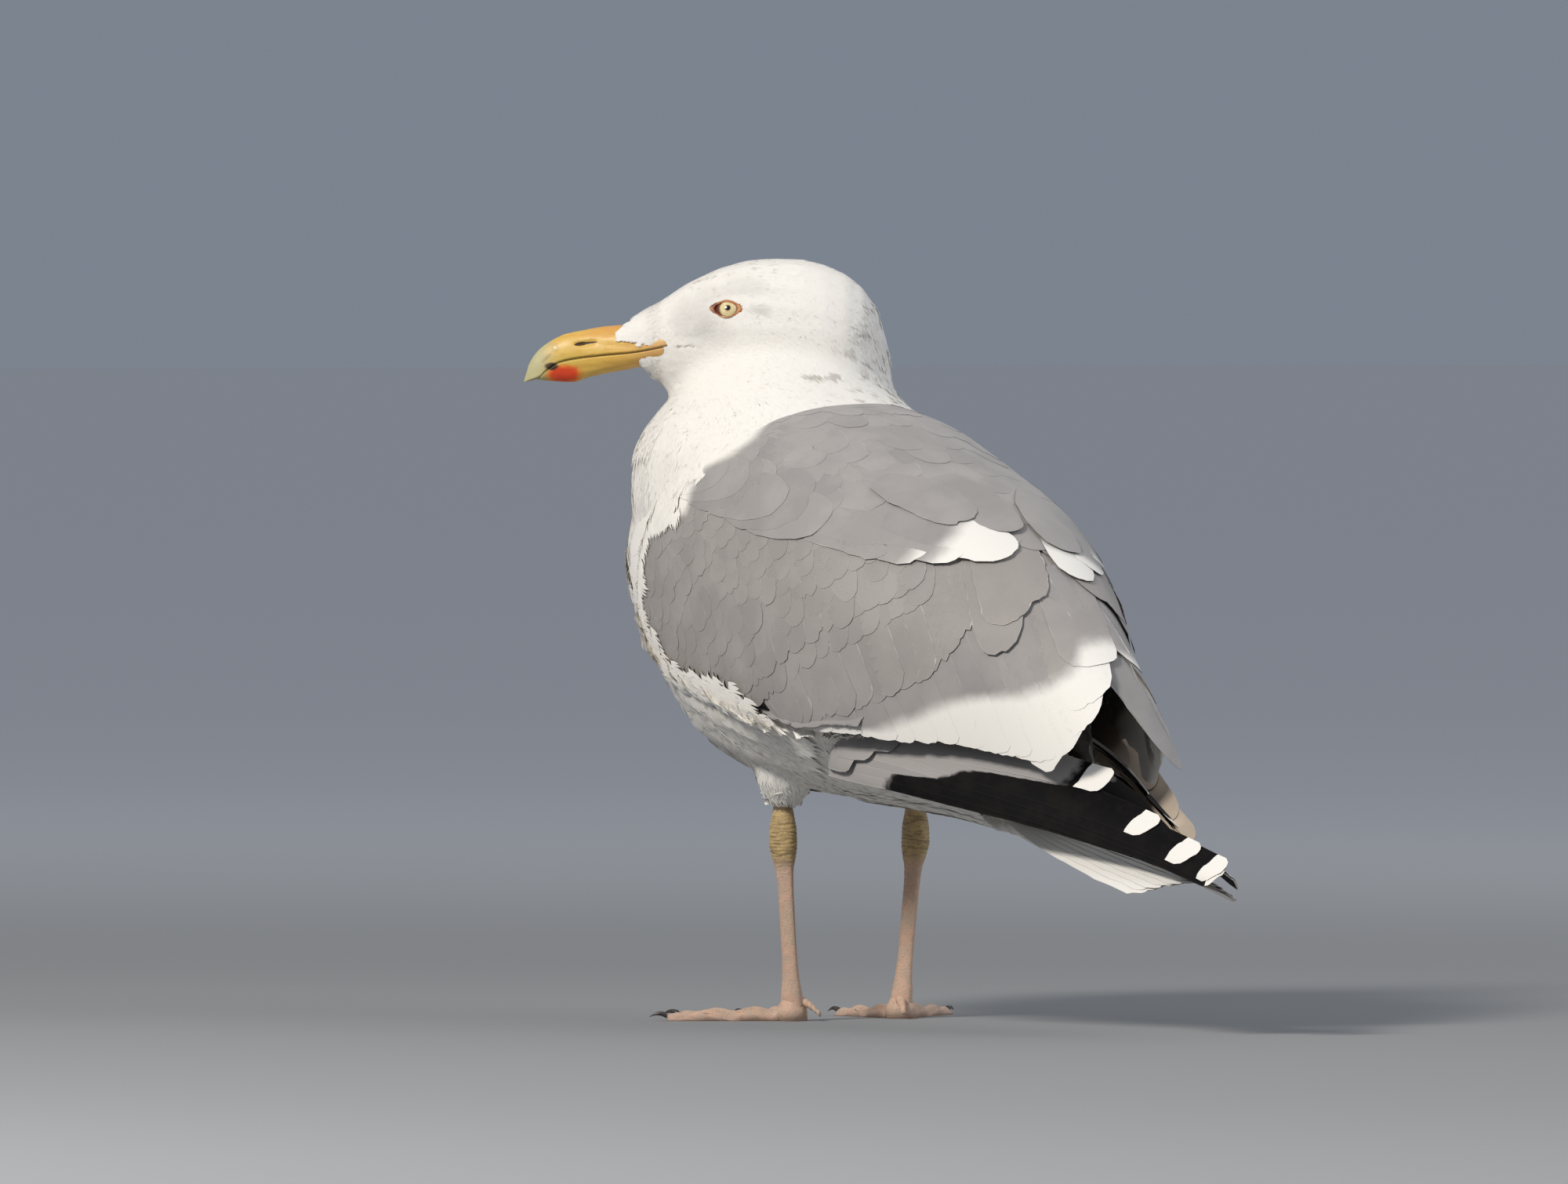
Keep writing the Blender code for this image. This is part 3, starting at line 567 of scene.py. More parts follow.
def easedCrease(points, triangles):
    # relaxes the fold where head and neck meet, and leaves bill and eyes alone
    ahead, left, up = inHead(points)
    share = hump(up, -0.034, 0.017) * (1 - ease(ahead, 0.03, 0.04)) * (ahead > -0.075)
    share = share * (1 - 0.75 * hump(ahead, 0.04, 0.012))
    pairs = np.concatenate([triangles[:, ends] for ends in ([0, 1], [1, 2], [2, 0])])
    pairs = np.concatenate([pairs, pairs[:, ::-1]])
    pairs = pairs[share[pairs[:, 0]] > 0.02]
    number = np.maximum(np.bincount(pairs[:, 0], minlength=len(points)), 1)
    for turn in range(shellSet["creaseTurns"]):
        total = [np.bincount(pairs[:, 0], points[pairs[:, 1], k], len(points)) for k in range(3)]
        middle = np.stack(total, 1) / number[:, None]
        points = points + (middle - points) * np.where(share > 0.02, share, 0)[:, None] * 0.8
    # the throat's feathers are a little fuller than the solids under the chin
    ahead, left, up = inHead(points)
    full = np.exp(-((ahead - 0.036) / 0.011) ** 2 - ((up + 0.029) / 0.01) ** 2 - (left / 0.016) ** 2)
    return points + np.outer(full, (forward * 0.5 - upward * 0.86) * shellSet["throat"])


cadArrays = {name: arraysOf(nodes[name]) for name in nodes}
shellNames = fleshNodes + coverNodes + ["bill_upper", "bill_lower", "eye_left", "eye_right"]
solidPoints, solidFaces = joinedArrays([(cadArrays[n][0], [cadArrays[n][1]]) for n in shellNames])
shellPoints, shellTriangles = remeshed("shell", solidPoints, solidFaces, shellSet["voxel"],
                                       shellSet["smoothing"])
shellPoints = easedCrease(shellPoints, shellTriangles)
shellNormals = pointNormals(shellPoints, shellTriangles)
shellTree = BVHTree.FromPolygons(shellPoints.tolist(), shellTriangles.tolist())
nodeOfFace = np.concatenate([np.full(len(cadArrays[n][1]), k) for k, n in enumerate(shellNames)])
solidTree = BVHTree.FromPolygons(solidPoints.tolist(), np.concatenate(solidFaces).tolist())
print("shell", len(shellPoints), "points")


def nearestNodes(places):
    return np.array([nodeOfFace[solidTree.find_nearest(Vector(p))[2]] for p in places])


def onShell(places):
    # nearest places of the shell and the outward direction there
    found = [shellTree.find_nearest(Vector(p)) for p in places]
    spots = np.array([f[0] for f in found])
    corners = shellTriangles[[f[2] for f in found]]
    weights = 1 / (np.linalg.norm(shellPoints[corners] - spots[:, None], axis=2) + 1e-5)
    normals = unit((shellNormals[corners] * weights[..., None]).sum(1))
    return spots, normals


def coatDepth(places):
    # how far the skin lies below the coat's outline
    ahead, left, up = inHead(places)
    height = places[:, 2]
    face = 0.002 - 0.0009 * ease(ahead, -0.005, 0.025)
    body = 0.0052 - 0.0012 * ease(height, 0.19, 0.23)
    depth = body + (face - body) * ease(height, 0.24, 0.276)
    return np.where(height < 0.118, np.minimum(depth, 0.003), depth)


# markings that skin and coat share, worked out from places on the bird
plumage = {
    "white": (0.86, 0.825, 0.765),
    "shade": (0.6, 0.585, 0.56),
    "fleck": (0.3, 0.25, 0.2),
    "smudge": (0.4, 0.375, 0.355),
    "grey": (0.298, 0.281, 0.272),
    "greyPale": (0.388, 0.365, 0.348),
    "black": (0.006, 0.0055, 0.006),
    "blackBrown": (0.018, 0.014, 0.012),
    # soft grey round the front of the eye, brown marks behind it, and a painted shade line in the feather
    # fold at the gape: place ahead and up, size, strength
    "smudges": [(0.0335, 0.0045, 0.0135, 0.012, 0.34), (0.0255, -0.0015, 0.011, 0.0075, 0.22),
                (0.0055, 0.0085, 0.006, 0.003, 0.42), (0.012, 0.0185, 0.012, 0.0055, 0.26),
                (0.025, 0.015, 0.01, 0.005, 0.22)],
    "tips": [(-0.017, -0.018, 0.0075, 0.0016, 0.75), (-0.0266, -0.017, 0.004, 0.0022, 0.8),
             (-0.0407, 0.0003, 0.0045, 0.002, 0.6), (-0.0327, -0.0064, 0.0035, 0.0014, 0.5),
             (0.0363, -0.0072, 0.0072, 0.001, 1.0)],
}


def paintInHead(where):
    # a shader's place, ahead of the head's middle, to its left and over it
    return [where.dot(axis) - float(headCentre @ axis) for axis in (forward, leftward, upward)]


def whiteMarkings(wire, where):
    # white, with brown flecks over crown and nape, smudges and brown marks round the eye, and a painted
    # shade line in the feather fold at the gape
    ahead, side, above = paintInHead(where)
    across = wire.node("ShaderNodeCombineXYZ", {}, {0: ahead * 0.38, 1: side, 2: above})
    streaks = wire.noise(across, 400.0, 2.0, 0.55).between(0.6, 0.72)
    crown = above.between(0.01, 0.02) * ahead.between(0.046, 0.036) * ahead.between(-0.01, 0.012)
    down = wire.node("ShaderNodeCombineXYZ", {}, {0: ahead, 1: side, 2: above * 0.55})
    spots = wire.noise(down, 175.0, 2.0, 0.5).between(0.6, 0.7)
    nape = ahead.between(-0.016, -0.032) * above.between(-0.066, -0.046) * above.between(0.02, 0.0)
    fine = wire.noise(across, 950.0, 2.0)

    def blots(places):
        shares = [(((ahead - x) / long) ** 2.0 + ((above - z) / high) ** 2.0).between(1.0, 0.0) * strength
                  for x, z, long, high, strength in places]
        return sum(shares[1:], shares[0])

    smudge = blots(plumage["smudges"]) * side.abs().between(0.006, 0.012) * (0.55 + fine * 0.9)
    return wire.layered(plumage["white"],
                        ((streaks * crown * 0.8).least(0.6), plumage["fleck"]),
                        (spots * nape * 0.28, plumage["fleck"]),
                        (smudge.least(0.6), plumage["smudge"]),
                        # brown marks behind the eye, and the painted shade line along the fold at the gape
                        ((blots(plumage["tips"]) * (0.3 + fine * 1.2)).least(0.7), plumage["fleck"]))


# the skin: one mesh under the coat, with lids, legs and webbed feet
legs = {
    "ankle": (0.0342, 0.002, 0.0755),
    "footJoint": (0.0282, 0.0, 0.008),
    "stance": (0.0027, 0.004),
    # height over the ankle, half width and half depth
    "shank": [(-0.07, 0.0046, 0.0052), (-0.066, 0.0045, 0.0052), (-0.057, 0.0033, 0.0044),
              (-0.045, 0.0028, 0.004), (-0.02, 0.0029, 0.0042), (-0.011, 0.0034, 0.0047),
              (-0.006, 0.0046, 0.006), (0.0, 0.0056, 0.007), (0.006, 0.0054, 0.0068),
              (0.013, 0.0042, 0.0055), (0.019, 0.0036, 0.0042), (0.026, 0.0034, 0.004)],
    "scuteHeight": 0.003,
    "scuteDepth": 0.00028,
    "wrinkle": 0.00062,
    "rows": 230,
    "columns": 48,
    "toeOut": math.radians(26),
    "toeSpread": math.radians(30),
    "toeLengths": (0.043, 0.056, 0.053),
    "ballRadius": 0.0078,
    "ballHeight": 0.011,
    "footBack": 0.0066,
    "webThick": 0.0012,
    "toeScute": 0.0024,
}


def sided(points, side):
    # places given for the left leg, moved to their own side
    points = np.array(points, float)
    points[..., 0] *= side
    return points + origin + np.array([*legs["stance"], 0.0])


def legRings(side):
    ankle, joint = np.array(legs["ankle"]), np.array(legs["footJoint"])
    rise = np.linspace(legs["shank"][-1][0], legs["shank"][0][0], legs["rows"])[:, None]
    turn = circle(legs["columns"])
    wide, deep = (through(legs["shank"], rise, column) for column in (1, 2))
    share = np.clip(-rise / (ankle[2] - joint[2]), 0, 1)
    middle = ankle + share[..., None] * (joint - ankle)
    front = np.cos(turn)  # 1 at the front of the leg
    flat = np.concatenate([np.sin(turn)[..., None], -front[..., None], np.zeros_like(turn)[..., None]], -1)
    across, back = middle[..., 0] + wide * np.sin(turn), middle[..., 1] - deep * front
    place = np.stack(np.broadcast_arrays(across, back, ankle[2] + rise), -1)
    # broad plates down the front, small ones behind, folds round the ankle
    plate = np.abs(np.sin(math.pi * (rise + 0.0004 * np.sin(turn * 2)) / legs["scuteHeight"]))
    groove = -legs["scuteDepth"] * np.exp(-((plate / 0.22) ** 2)) * ease(front, 0.25, 0.6)
    mesh = np.sin(rise / 0.00036 + 1.2 * np.sin(turn * 9)) * np.sin(turn * 11 + rise / 0.0006)
    net = 0.00009 * mesh * ease(front, 0.5, 0.2)
    atAnkle = hump(rise, 0.001, 0.0095)
    fold = np.abs(np.sin(rise / 0.00052 + 0.9 * np.sin(turn + side) + 0.5 * np.sin(turn * 3 + rise * 900)))
    folds = -legs["wrinkle"] * (1 - fold) ** 1.5 * atAnkle * (0.5 + 0.5 * np.sin(turn * 2 + 1) ** 2)
    tendon = 0.0006 * hump(turn, math.pi, 0.45) * ease(rise, 0.004, -0.012)
    place = place + flat * (groove * (1 - 0.8 * atAnkle) + net + folds + tendon)[..., None]
    return sided(place, side)


def toeShape(reach, aside, length):
    # height of a toe's back over the floor: knuckles, and plates across it
    t = np.clip(reach / length, 0, 1)
    knuckle = 1 + 0.16 * np.cos(2 * math.pi * 3 * t)
    wide = through([(0.0, 0.004), (0.5, 0.0032), (0.9, 0.0028), (1.0, 0.002)], t) * knuckle
    tall = through([(0.0, 0.007), (0.2, 0.0055), (0.6, 0.0045), (0.9, 0.0038), (1.0, 0.0022)], t) * knuckle
    plate = np.abs(np.sin(math.pi * reach / legs["toeScute"]))
    tall = tall - 0.00032 * np.exp(-((plate / 0.25) ** 2)) * ease(t, 0.08, 0.16)
    return tall * np.sqrt(np.clip(1 - (aside / wide) ** 2, 0, 1)) * (reach <= length * 1.001)


def footReach(turn):
    spread, lengths = legs["toeSpread"], legs["toeLengths"]
    side = np.abs(turn) - spread
    edge = np.where(turn < 0, lengths[0], lengths[2])
    beyond = np.minimum(0.003 / np.sin(np.clip(side, 1e-3, math.pi / 2)), edge).clip(legs["footBack"])
    k = np.where(turn < 0, 0, 1)
    t = np.clip((turn - (k - 1) * spread) / spread, 0, 1)
    first, second = np.array(lengths)[k], np.array(lengths)[k + 1]
    straight = 1 / ((1 - t) / first + t / second)
    hollow = straight * (1 - 0.25 * np.sin(math.pi * t) ** 0.8)
    return np.where(side > 0, beyond, hollow)


def footPart(side):
    # a fan round the ball of the foot: toes and webs above, a flat sole below
    fine = np.radians(np.linspace(-4.6, 4.6, 13))
    turns = [k * legs["toeSpread"] + fine for k in (-1, 0, 1)]
    turns += [np.radians(np.linspace(a, b, 15)) for a, b in ((-24.8, -5.2), (5.2, 24.8))]
    turns += [s * (legs["toeSpread"] + np.radians([5.5, 6.5, 8, 10, 13, 17, 22, 30, 42, 58, 76, 95, 118]))
              for s in (-1, 1)]
    turns = np.sort(np.concatenate(turns + [[math.pi]]))
    shares = np.linspace(0, 1, 82)[1:]
    turn, share = np.meshgrid(turns, shares, indexing="ij")
    reach = footReach(turn) * share
    height = np.zeros_like(reach)
    for k, length in enumerate(legs["toeLengths"]):
        off = turn - (k - 1) * legs["toeSpread"]
        near = np.abs(off) < math.pi / 2
        toe = toeShape(reach * np.cos(off), reach * np.sin(off), length)
        height = np.maximum(height, np.where(near, toe, 0))
    ball = legs["ballHeight"] * np.clip(1 - (reach / legs["ballRadius"]) ** 3, 0, 1)
    web = legs["webThick"] * (1 + 0.22 * np.sin(turn * 46) * ease(share, 0.2, 0.5)
                              + 0.2 * np.sin(reach / 0.00062 + 2 * np.sin(turn * 9)))
    height = np.maximum(np.maximum(height, ball), web * (1 - 0.45 * ease(share, 0.96, 1.0)))

    def spot(turnAt, reachAt, heightAt):
        heading = legs["toeOut"] + turnAt
        joint = legs["footJoint"]
        x, y = joint[0] + np.sin(heading) * reachAt, joint[1] - np.cos(heading) * reachAt
        return sided(np.stack([x, y, heightAt], -1), side)

    top = spot(turn, reach, height)
    rim = spot(turns, footReach(turns), np.zeros(len(turns)))
    middles = spot(np.zeros(2), np.zeros(2), np.array([legs["ballHeight"], 0.0]))
    count, depth = top.shape[:2]
    points = np.concatenate([top.reshape(-1, 3), rim, middles])
    around = np.arange(count)
    after = (around + 1) % count
    rimStart = count * depth
    middle = np.full(count, rimStart + count)
    top = np.roll(gridFaces(count + 1, depth)[:, ::-1], 1, axis=1) % rimStart  # the last row joins the first
    wall = [around * depth + depth - 1, after * depth + depth - 1, rimStart + after, rimStart + around]
    inner = [middle, after * depth, around * depth]
    sole = [middle + 1, rimStart + around, rimStart + after]
    return points, [top] + [np.stack(corners, -1) for corners in (wall, inner, sole)]


def toeWay(heading):
    ahead = np.array([math.sin(heading), -math.cos(heading), 0.0])
    return ahead, np.array([-ahead[1], ahead[0], 0.0])


def hindToe(side):
    ahead, across = toeWay(legs["toeOut"])
    root = np.array(legs["footJoint"]) - ahead * 0.005 - across * 0.001
    t, turn = np.linspace(0, 1, 24)[:, None], circle(18)
    girth = 0.002 * (1 - 0.5 * t) * (1 + 0.1 * np.cos(t * 26))
    middle = root - ahead * (0.0082 * t[..., None]) - upward * (0.005 * t[..., None] ** 1.5)
    rings = middle + girth[..., None] * (across * np.sin(turn)[..., None] + upward * np.cos(turn)[..., None])
    return withEnds(sided(rings, side)), tubeFaces(24, 18)


# the rim of bare skin round the eye
lids = {
    "middleAhead": 0.0171,
    "middleUp": 0.0087,
    "halfLong": 0.0077,
    "halfHigh": 0.0044,
    "openFront": 0.005,
    "openBack": 0.0047,
    "openTop": 0.0028,
    "openLow": 0.0036,
    "proud": 0.0004,
    "columns": 96,
    "rows": 12,
}


def lidRing(side):
    turn, t = circle(lids["columns"]), np.linspace(0, 1, lids["rows"])[:, None]
    almond = 1 - 0.16 * np.abs(np.cos(turn)) ** 1.5
    longIn = np.where(np.cos(turn) > 0, lids["openFront"], lids["openBack"])
    highIn = np.where(np.sin(turn) > 0, lids["openTop"], lids["openLow"]) * almond
    long = longIn + (lids["halfLong"] * (0.88 + 0.12 * np.abs(np.cos(turn)) ** 3) - longIn) * t
    high = highIn + (lids["halfHigh"] * almond - highIn) * t
    ahead = lids["middleAhead"] + long * np.cos(turn)
    up = lids["middleUp"] + high * np.sin(turn) - 0.0004 * np.cos(turn) * t
    square = head["eyeRadius"] ** 2 - (ahead - head["eyeAhead"]) ** 2 - (up - head["eyeUp"]) ** 2
    onBall = head["eyeOut"] + np.sqrt(np.clip(square, 0, None))
    outside = headPoint(ahead, np.full_like(ahead, side * 0.04), up).reshape(-1, 3)
    hits = np.array([list(shellTree.ray_cast(Vector(p), Vector(-side * leftward))[0]) for p in outside])
    atFace = np.abs(inHead(hits)[1]).reshape(ahead.shape) - 0.0005
    left = np.maximum((onBall + 0.00025) * (1 - ease(t, 0.5, 1.0)), atFace)
    bulge = np.sin(math.pi * np.clip(t * 1.25, 0, 1)) ** 0.8
    rimWave = 1 + 0.1 * np.sin(turn * 17) * t + 0.06 * np.sin(turn * 31 + 1)
    left = left + lids["proud"] * bulge * rimWave
    front = headPoint(ahead, side * left, up)
    back = headPoint(ahead, side * (left - 0.0022), up)
    rings = np.concatenate([back[:1], front, back[-1:]])
    points = rings.reshape(-1, 3)
    faces = gridFaces(len(rings) + 1, lids["columns"], closed=True) % len(points)
    return points, [faces if side > 0 else faces[:, ::-1]]


def thighTuck(places, normals):
    # the front of the left thigh and both thighs' ends, drawn in towards the leg
    x, y, z = places.T
    low = ease(-z, -0.125, -0.1) * (x > origin[0]) * (y < origin[1] + 0.04)
    ends = ease(-z, -0.104, -0.089) * (y < origin[1] + 0.04)
    return 0.0048 * low * ease(-normals[:, 1], 0.1, 0.7) + 0.003 * ends


def makeSkin():
    # the shell drawn in by the coat's depth, then legs and lids
    depth = coatDepth(shellPoints)
    ahead, left, up = inHead(shellPoints)
    byBill = ease(ahead, 0.05, 0.058) * (up > -0.03) * (1 - 0.8 * ease(up, 0.004, 0.007))
    depth = depth + 0.0028 * byBill
    along, angle = hullPlace(shellPoints)
    depth = depth + through(hull["rightTuck"], along) * ease(-angle, 4, 20) * (shellPoints[:, 2] > 0.08)
    depth = depth + thighTuck(shellPoints, shellNormals)
    inner = shellPoints - shellNormals * depth[:, None]
    sets = [(inner, [shellTriangles])]
    kinds = [np.zeros(len(inner))]
    for side in (1, -1):
        shank = withEnds(legRings(side)), tubeFaces(legs["rows"], legs["columns"])
        sets += [shank, footPart(side), hindToe(side), lidRing(side)]
        kinds += [np.full(len(part[0]), kind) for part, kind in zip(sets[-4:], (1.0, 1.0, 1.0, 2.0))]
    points, faces = joinedArrays(sets)
    kind = np.concatenate(kinds)
    under = nearestNodes(shellPoints)
    cover = np.zeros(len(points))
    cover[: len(shellPoints)] = np.isin(under, [shellNames.index(n) for n in coverNodes])
    values = {"bare": kind == 1, "lid": kind == 2, "cover": cover,
              "ankleNear": hump(points[:, 2] - legs["ankle"][2], 0.004, 0.014)}

    paint, wire = newMaterial("skinPaint")
    where = wire.place()
    height = where.dot(upward)
    patches = wire.noise(where, 190.0, 3.0, 0.6)
    fine = wire.noise(where.scaled((1.0, 1.0, 2.2)), 900.0, 3.0, 0.65)
    rings = wire.noise(where.scaled((0.2, 0.2, 1.0)), 900.0, 2.0, 0.6)
    flesh = wire.layered((0.68, 0.435, 0.31),
                         (patches.between(0.35, 0.65), (0.57, 0.42, 0.31)),
                         (fine.between(0.45, 0.75) * 0.5, (0.33, 0.205, 0.15)))
    ankle = wire.layered((0.6, 0.43, 0.19),
                         (patches.between(0.36, 0.6), (0.46, 0.325, 0.15)),
                         (fine.between(0.5, 0.72) * 0.5, (0.2, 0.125, 0.07)),
                         (rings.between(0.52, 0.62) * 0.55, (0.14, 0.085, 0.048)))
    # the bare skin takes the ankle's colours round the ankle, and is painted darker within about 3 mm of the
    # floor
    legged = wire.layered(flesh, (wire.value("ankleNear").between(0.22, 0.75), ankle),
                          (height.between(0.0032, 0.0014) * 0.45, (0.4, 0.27, 0.22)))
    lidAhead, _, lidUp = paintInHead(where)
    lidOval = ((lidAhead - lids["middleAhead"]) / lids["halfLong"]) ** 2.0 \
        + ((lidUp - lids["middleUp"]) / lids["halfHigh"]) ** 2.0
    lidded = wire.layered((0.5, 0.205, 0.06),
                          (fine.between(0.35, 0.7), (0.34, 0.12, 0.034)),
                          (lidAhead.between(0.02, 0.0218) * lidAhead.between(0.024, 0.0228) * 0.8,
                           (0.13, 0.02, 0.01)),
                          (lidAhead.between(0.0228, 0.0242) * 0.7, (0.62, 0.3, 0.1)))
    colour = wire.layered(whiteMarkings(wire, where),
                          (wire.value("cover").between(0.3, 0.7), plumage["grey"]),
                          (lidOval.between(1.15, 0.95), (0.16, 0.05, 0.022)),
                          (wire.value("bare"), legged), (wire.value("lid"), lidded))
    rough = 0.85 - wire.value("bare") * 0.3 - wire.value("lid") * 0.4
    cells = wire.node("ShaderNodeTexVoronoi", {"feature": "DISTANCE_TO_EDGE"},
                      {"Vector": where, "Scale": 1150.0})
    height = cells.between(0.0, 0.14) * wire.value("bare") + fine * 0.35
    surface(wire, colour, rough, normal=wire.bump(height, 0.55, 0.00022), inner=0.05, innerScale=0.002)

    skin = newPiece("skin", points, faces, paint, values)
    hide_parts(*fleshNodes, *legNodes)
    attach(skin, "root")
    print("skin", len(points), "points")
    return skin


skin = makeSkin()

# the coat: small feathers as tufts of tapering strands that follow the lie of the plumage
coats = {
    # sizes on the breast; everywhere else they shrink with the local size, down to the smallest on the face
    "gap": 0.00265,
    "length": 0.0185,
    "width": 0.0088,
    "stand": 0.00045,
    "rise": 0.4,  # share of a tuft's length, from the root, that is still climbing out of the coat
    "slope": 0.0075,  # how much each tuft climbs over the next one behind it, against its length
    "roughSlope": 0.017,
    "stray": 0.02,  # share of tufts that stand a little off the coat
    "strayNape": 0.07,
    "turn": 8,
    "strands": {"face": 4, "head": 5, "neck": 6, "breast": 8, "thighs": 6, "flank": 8},  # 7 on the others
    "steps": {"face": 3, "head": 4, "neck": 4},  # 5 on the others
    "rootShade": 0.09,
}
coatLie = {
    "eyeLong": 0.0077,  # bare oval round the eye, where no tuft lies
    "eyeHigh": 0.0042,
    # how far ahead the face's feathers reach, by the height at the bill
    "billEdge": [(-0.021, 0.05), (-0.0165, 0.0515), (-0.0153, 0.0543), (-0.0138, 0.0551),
                 (-0.0107, 0.051), (-0.0092, 0.0478), (-0.008, 0.0438), (-0.0074, 0.044),
                 (-0.0066, 0.048), (-0.0058, 0.053), (-0.005, 0.0578), (-0.0043, 0.062),
                 (-0.0036, 0.0658), (-0.0028, 0.0665), (-0.0016, 0.0648), (0.0004, 0.0622),
                 (0.0026, 0.0592), (0.0044, 0.0592), (0.006, 0.06)],
    "patch": 0.003,
    # the flank's white feathers lie over the wing's lower edge, from this angle by place along the trunk
    "flankTop": [(-0.06, 116), (-0.03, 114), (-0.006, 110.5), (0.01, 107), (0.03, 104.5), (0.05, 106),
                 (0.066, 113), (0.08, 121)],
    "flankLevel": 0.0014,
}


def layOfCoat(places, normals):
    # which way the feathers lie: back over the head, down the neck, and along the trunk
    ahead, left, up = inHead(places)
    z = places[:, 2]
    back = ease(-ahead, -0.01, 0.045)
    overHead = -forward + np.outer(0.1 + 1.3 * back, -upward) + np.outer(0.25 * np.sign(left), leftward)
    overHead = overHead - np.outer(0.5 * ease(-up, 0.008, 0.03), upward)  # steeper on the throat
    lay = overHead + (-upward - overHead) * ease(-z, -0.28, -0.252)[:, None]
    lay = lay + (bodyAxis - lay) * ease(-z, -0.24, -0.185)[:, None]
    onLeg = ease(-z, -0.122, -0.1)[:, None] * (places[:, 1] < origin[1] + 0.032)[:, None]
    lay = lay + (np.array([0.0, 0.3, -1.0]) - lay) * onLeg
    flat = lay - normals * (lay * normals).sum(1, keepdims=True)
    return unit(flat)


def pastEye(places):
    # moves places that fall on the bare oval round an eye out to its edge
    ahead, left, up = inHead(places)
    long = (ahead - lids["middleAhead"]) / coatLie["eyeLong"]
    high = (up - lids["middleUp"]) / coatLie["eyeHigh"]
    reach = np.sqrt(long**2 + high**2)
    push = np.where((reach < 1) & (np.abs(left) > 0.008), (1 - reach) / np.maximum(reach, 0.05), 0.0)
    places = places + np.outer(long * push * coatLie["eyeLong"], forward)
    return places + np.outer(high * push * coatLie["eyeHigh"], upward)


def coatSize(places):
    # how large the feathers are, against those of the breast
    ahead, left, up = inHead(places)
    size = through([(-0.3, 0.34), (-0.282, 0.38), (-0.262, 0.5), (-0.235, 0.66), (-0.2, 0.84),
                    (-0.165, 1.0), (0.0, 1.0)], -places[:, 2])
    front = ease(ahead, -0.012, 0.04) * ease(up, -0.045, -0.02)
    size = size * (1 - 0.42 * front)
    aroundEye = np.exp(-(((ahead - 0.017) / 0.013) ** 2 + ((up - 0.008) / 0.009) ** 2))
    size = size * (1 - 0.25 * aroundEye * (places[:, 2] > 0.27))
    onLeg = ease(-places[:, 2], -0.135, -0.11) * (places[:, 1] < origin[1] + 0.045)
    return np.maximum(size * (1 - 0.38 * onLeg), 0.19)


def spreadRoots(triangles, spacing, random):
    # evenly scattered places on part of the shell, none nearer than the local gap
    a, b, c = (shellPoints[triangles[:, k]] for k in range(3))
    gaps = spacing * coatSize((a + b + c) / 3)
    gap = float(gaps.max())
    area = np.linalg.norm(np.cross(b - a, c - a), axis=1) / 2 / gaps**2
    count = int(area.sum() * 3.2)
    pick = random.choice(len(triangles), count, p=area / area.sum())
    own = gaps[pick] ** 2
    u, v = random.random((2, count))
    over = u + v > 1
    u, v = np.where(over, 1 - u, u), np.where(over, 1 - v, v)
    places = a[pick] + (b - a)[pick] * u[:, None] + (c - a)[pick] * v[:, None]
    cells = np.floor(places / gap).astype(int)
    around = [(x, y, z) for x in (-1, 0, 1) for y in (-1, 0, 1) for z in (-1, 0, 1)]
    taken, kept = {}, []
    for k, (x, y, z) in enumerate(cells.tolist()):
        px, py, pz = places[k]
        others = (o for dx, dy, dz in around for o in taken.get((x + dx, y + dy, z + dz), ()))
        if all((px - ox)**2 + (py - oy)**2 + (pz - oz)**2 >= own[k] for ox, oy, oz in others):
            taken.setdefault((x, y, z), []).append((px, py, pz))
            kept.append(k)
    return places[kept]


def skinUnwrap():
    # a coarse copy of the skin laid flat, to read where each root comes on it
    inner = shellPoints - shellNormals * coatDepth(shellPoints)[:, None]
    points, triangles = remeshed("flatSkin", inner, [shellTriangles], shellSet["coarseVoxel"], 0)
    flat = newPiece("flatSkin", points, [triangles])
    bpy.context.view_layer.objects.active = flat
    flat.select_set(True)
    bpy.ops.object.mode_set(mode="EDIT")
    bpy.ops.mesh.select_all(action="SELECT")
    bpy.ops.uv.smart_project(angle_limit=math.radians(66), island_margin=0.004)
    bpy.ops.object.mode_set(mode="OBJECT")
    corners = np.zeros(len(flat.data.loops) * 2, np.float32)
    flat.data.uv_layers.active.data.foreach_get("uv", corners)
    middles = corners.reshape(-1, 3, 2)
    tree = BVHTree.FromPolygons(points.tolist(), triangles.tolist())
    bpy.data.objects.remove(flat)
    return points, triangles, middles, tree


flatPoints, flatTriangles, flatCorners, flatTree = skinUnwrap()


def rootsOnMap(places):
    faces = np.array([flatTree.find_nearest(Vector(p))[2] for p in places])
    corners = flatPoints[flatTriangles[faces]]
    weights = 1 / (np.linalg.norm(corners - places[:, None], axis=2) + 1e-5)
    weights /= weights.sum(1, keepdims=True)
    return (flatCorners[faces] * weights[..., None]).sum(1)


def coatPaint():
    paint, wire = newMaterial("whitePlumage")
    root = wire.spot("root")
    colour = wire.layered(whiteMarkings(wire, root),
                          (wire.value("down").between(0.0, 0.6, coats["rootShade"], 0.0), plumage["shade"]),
                          (wire.value("tone") * 0.14, (0.74, 0.72, 0.68)))
    surface(wire, colour, 0.78, sheen=0.12, sheenRough=0.5, shine=0.25)
    return paint


whitePlumage = coatPaint()


def laced(left, right, last):
    # each strand's corners: left and right by turns down to the tip
    pairs = np.stack([left[:, :, :-1], right[:, :, :-1]], 3)
    count, strands, steps = pairs.shape[:3]
    return np.concatenate([pairs.reshape(count, strands, 2 * steps, *pairs.shape[4:]), last[:, :, -1:]], 2)


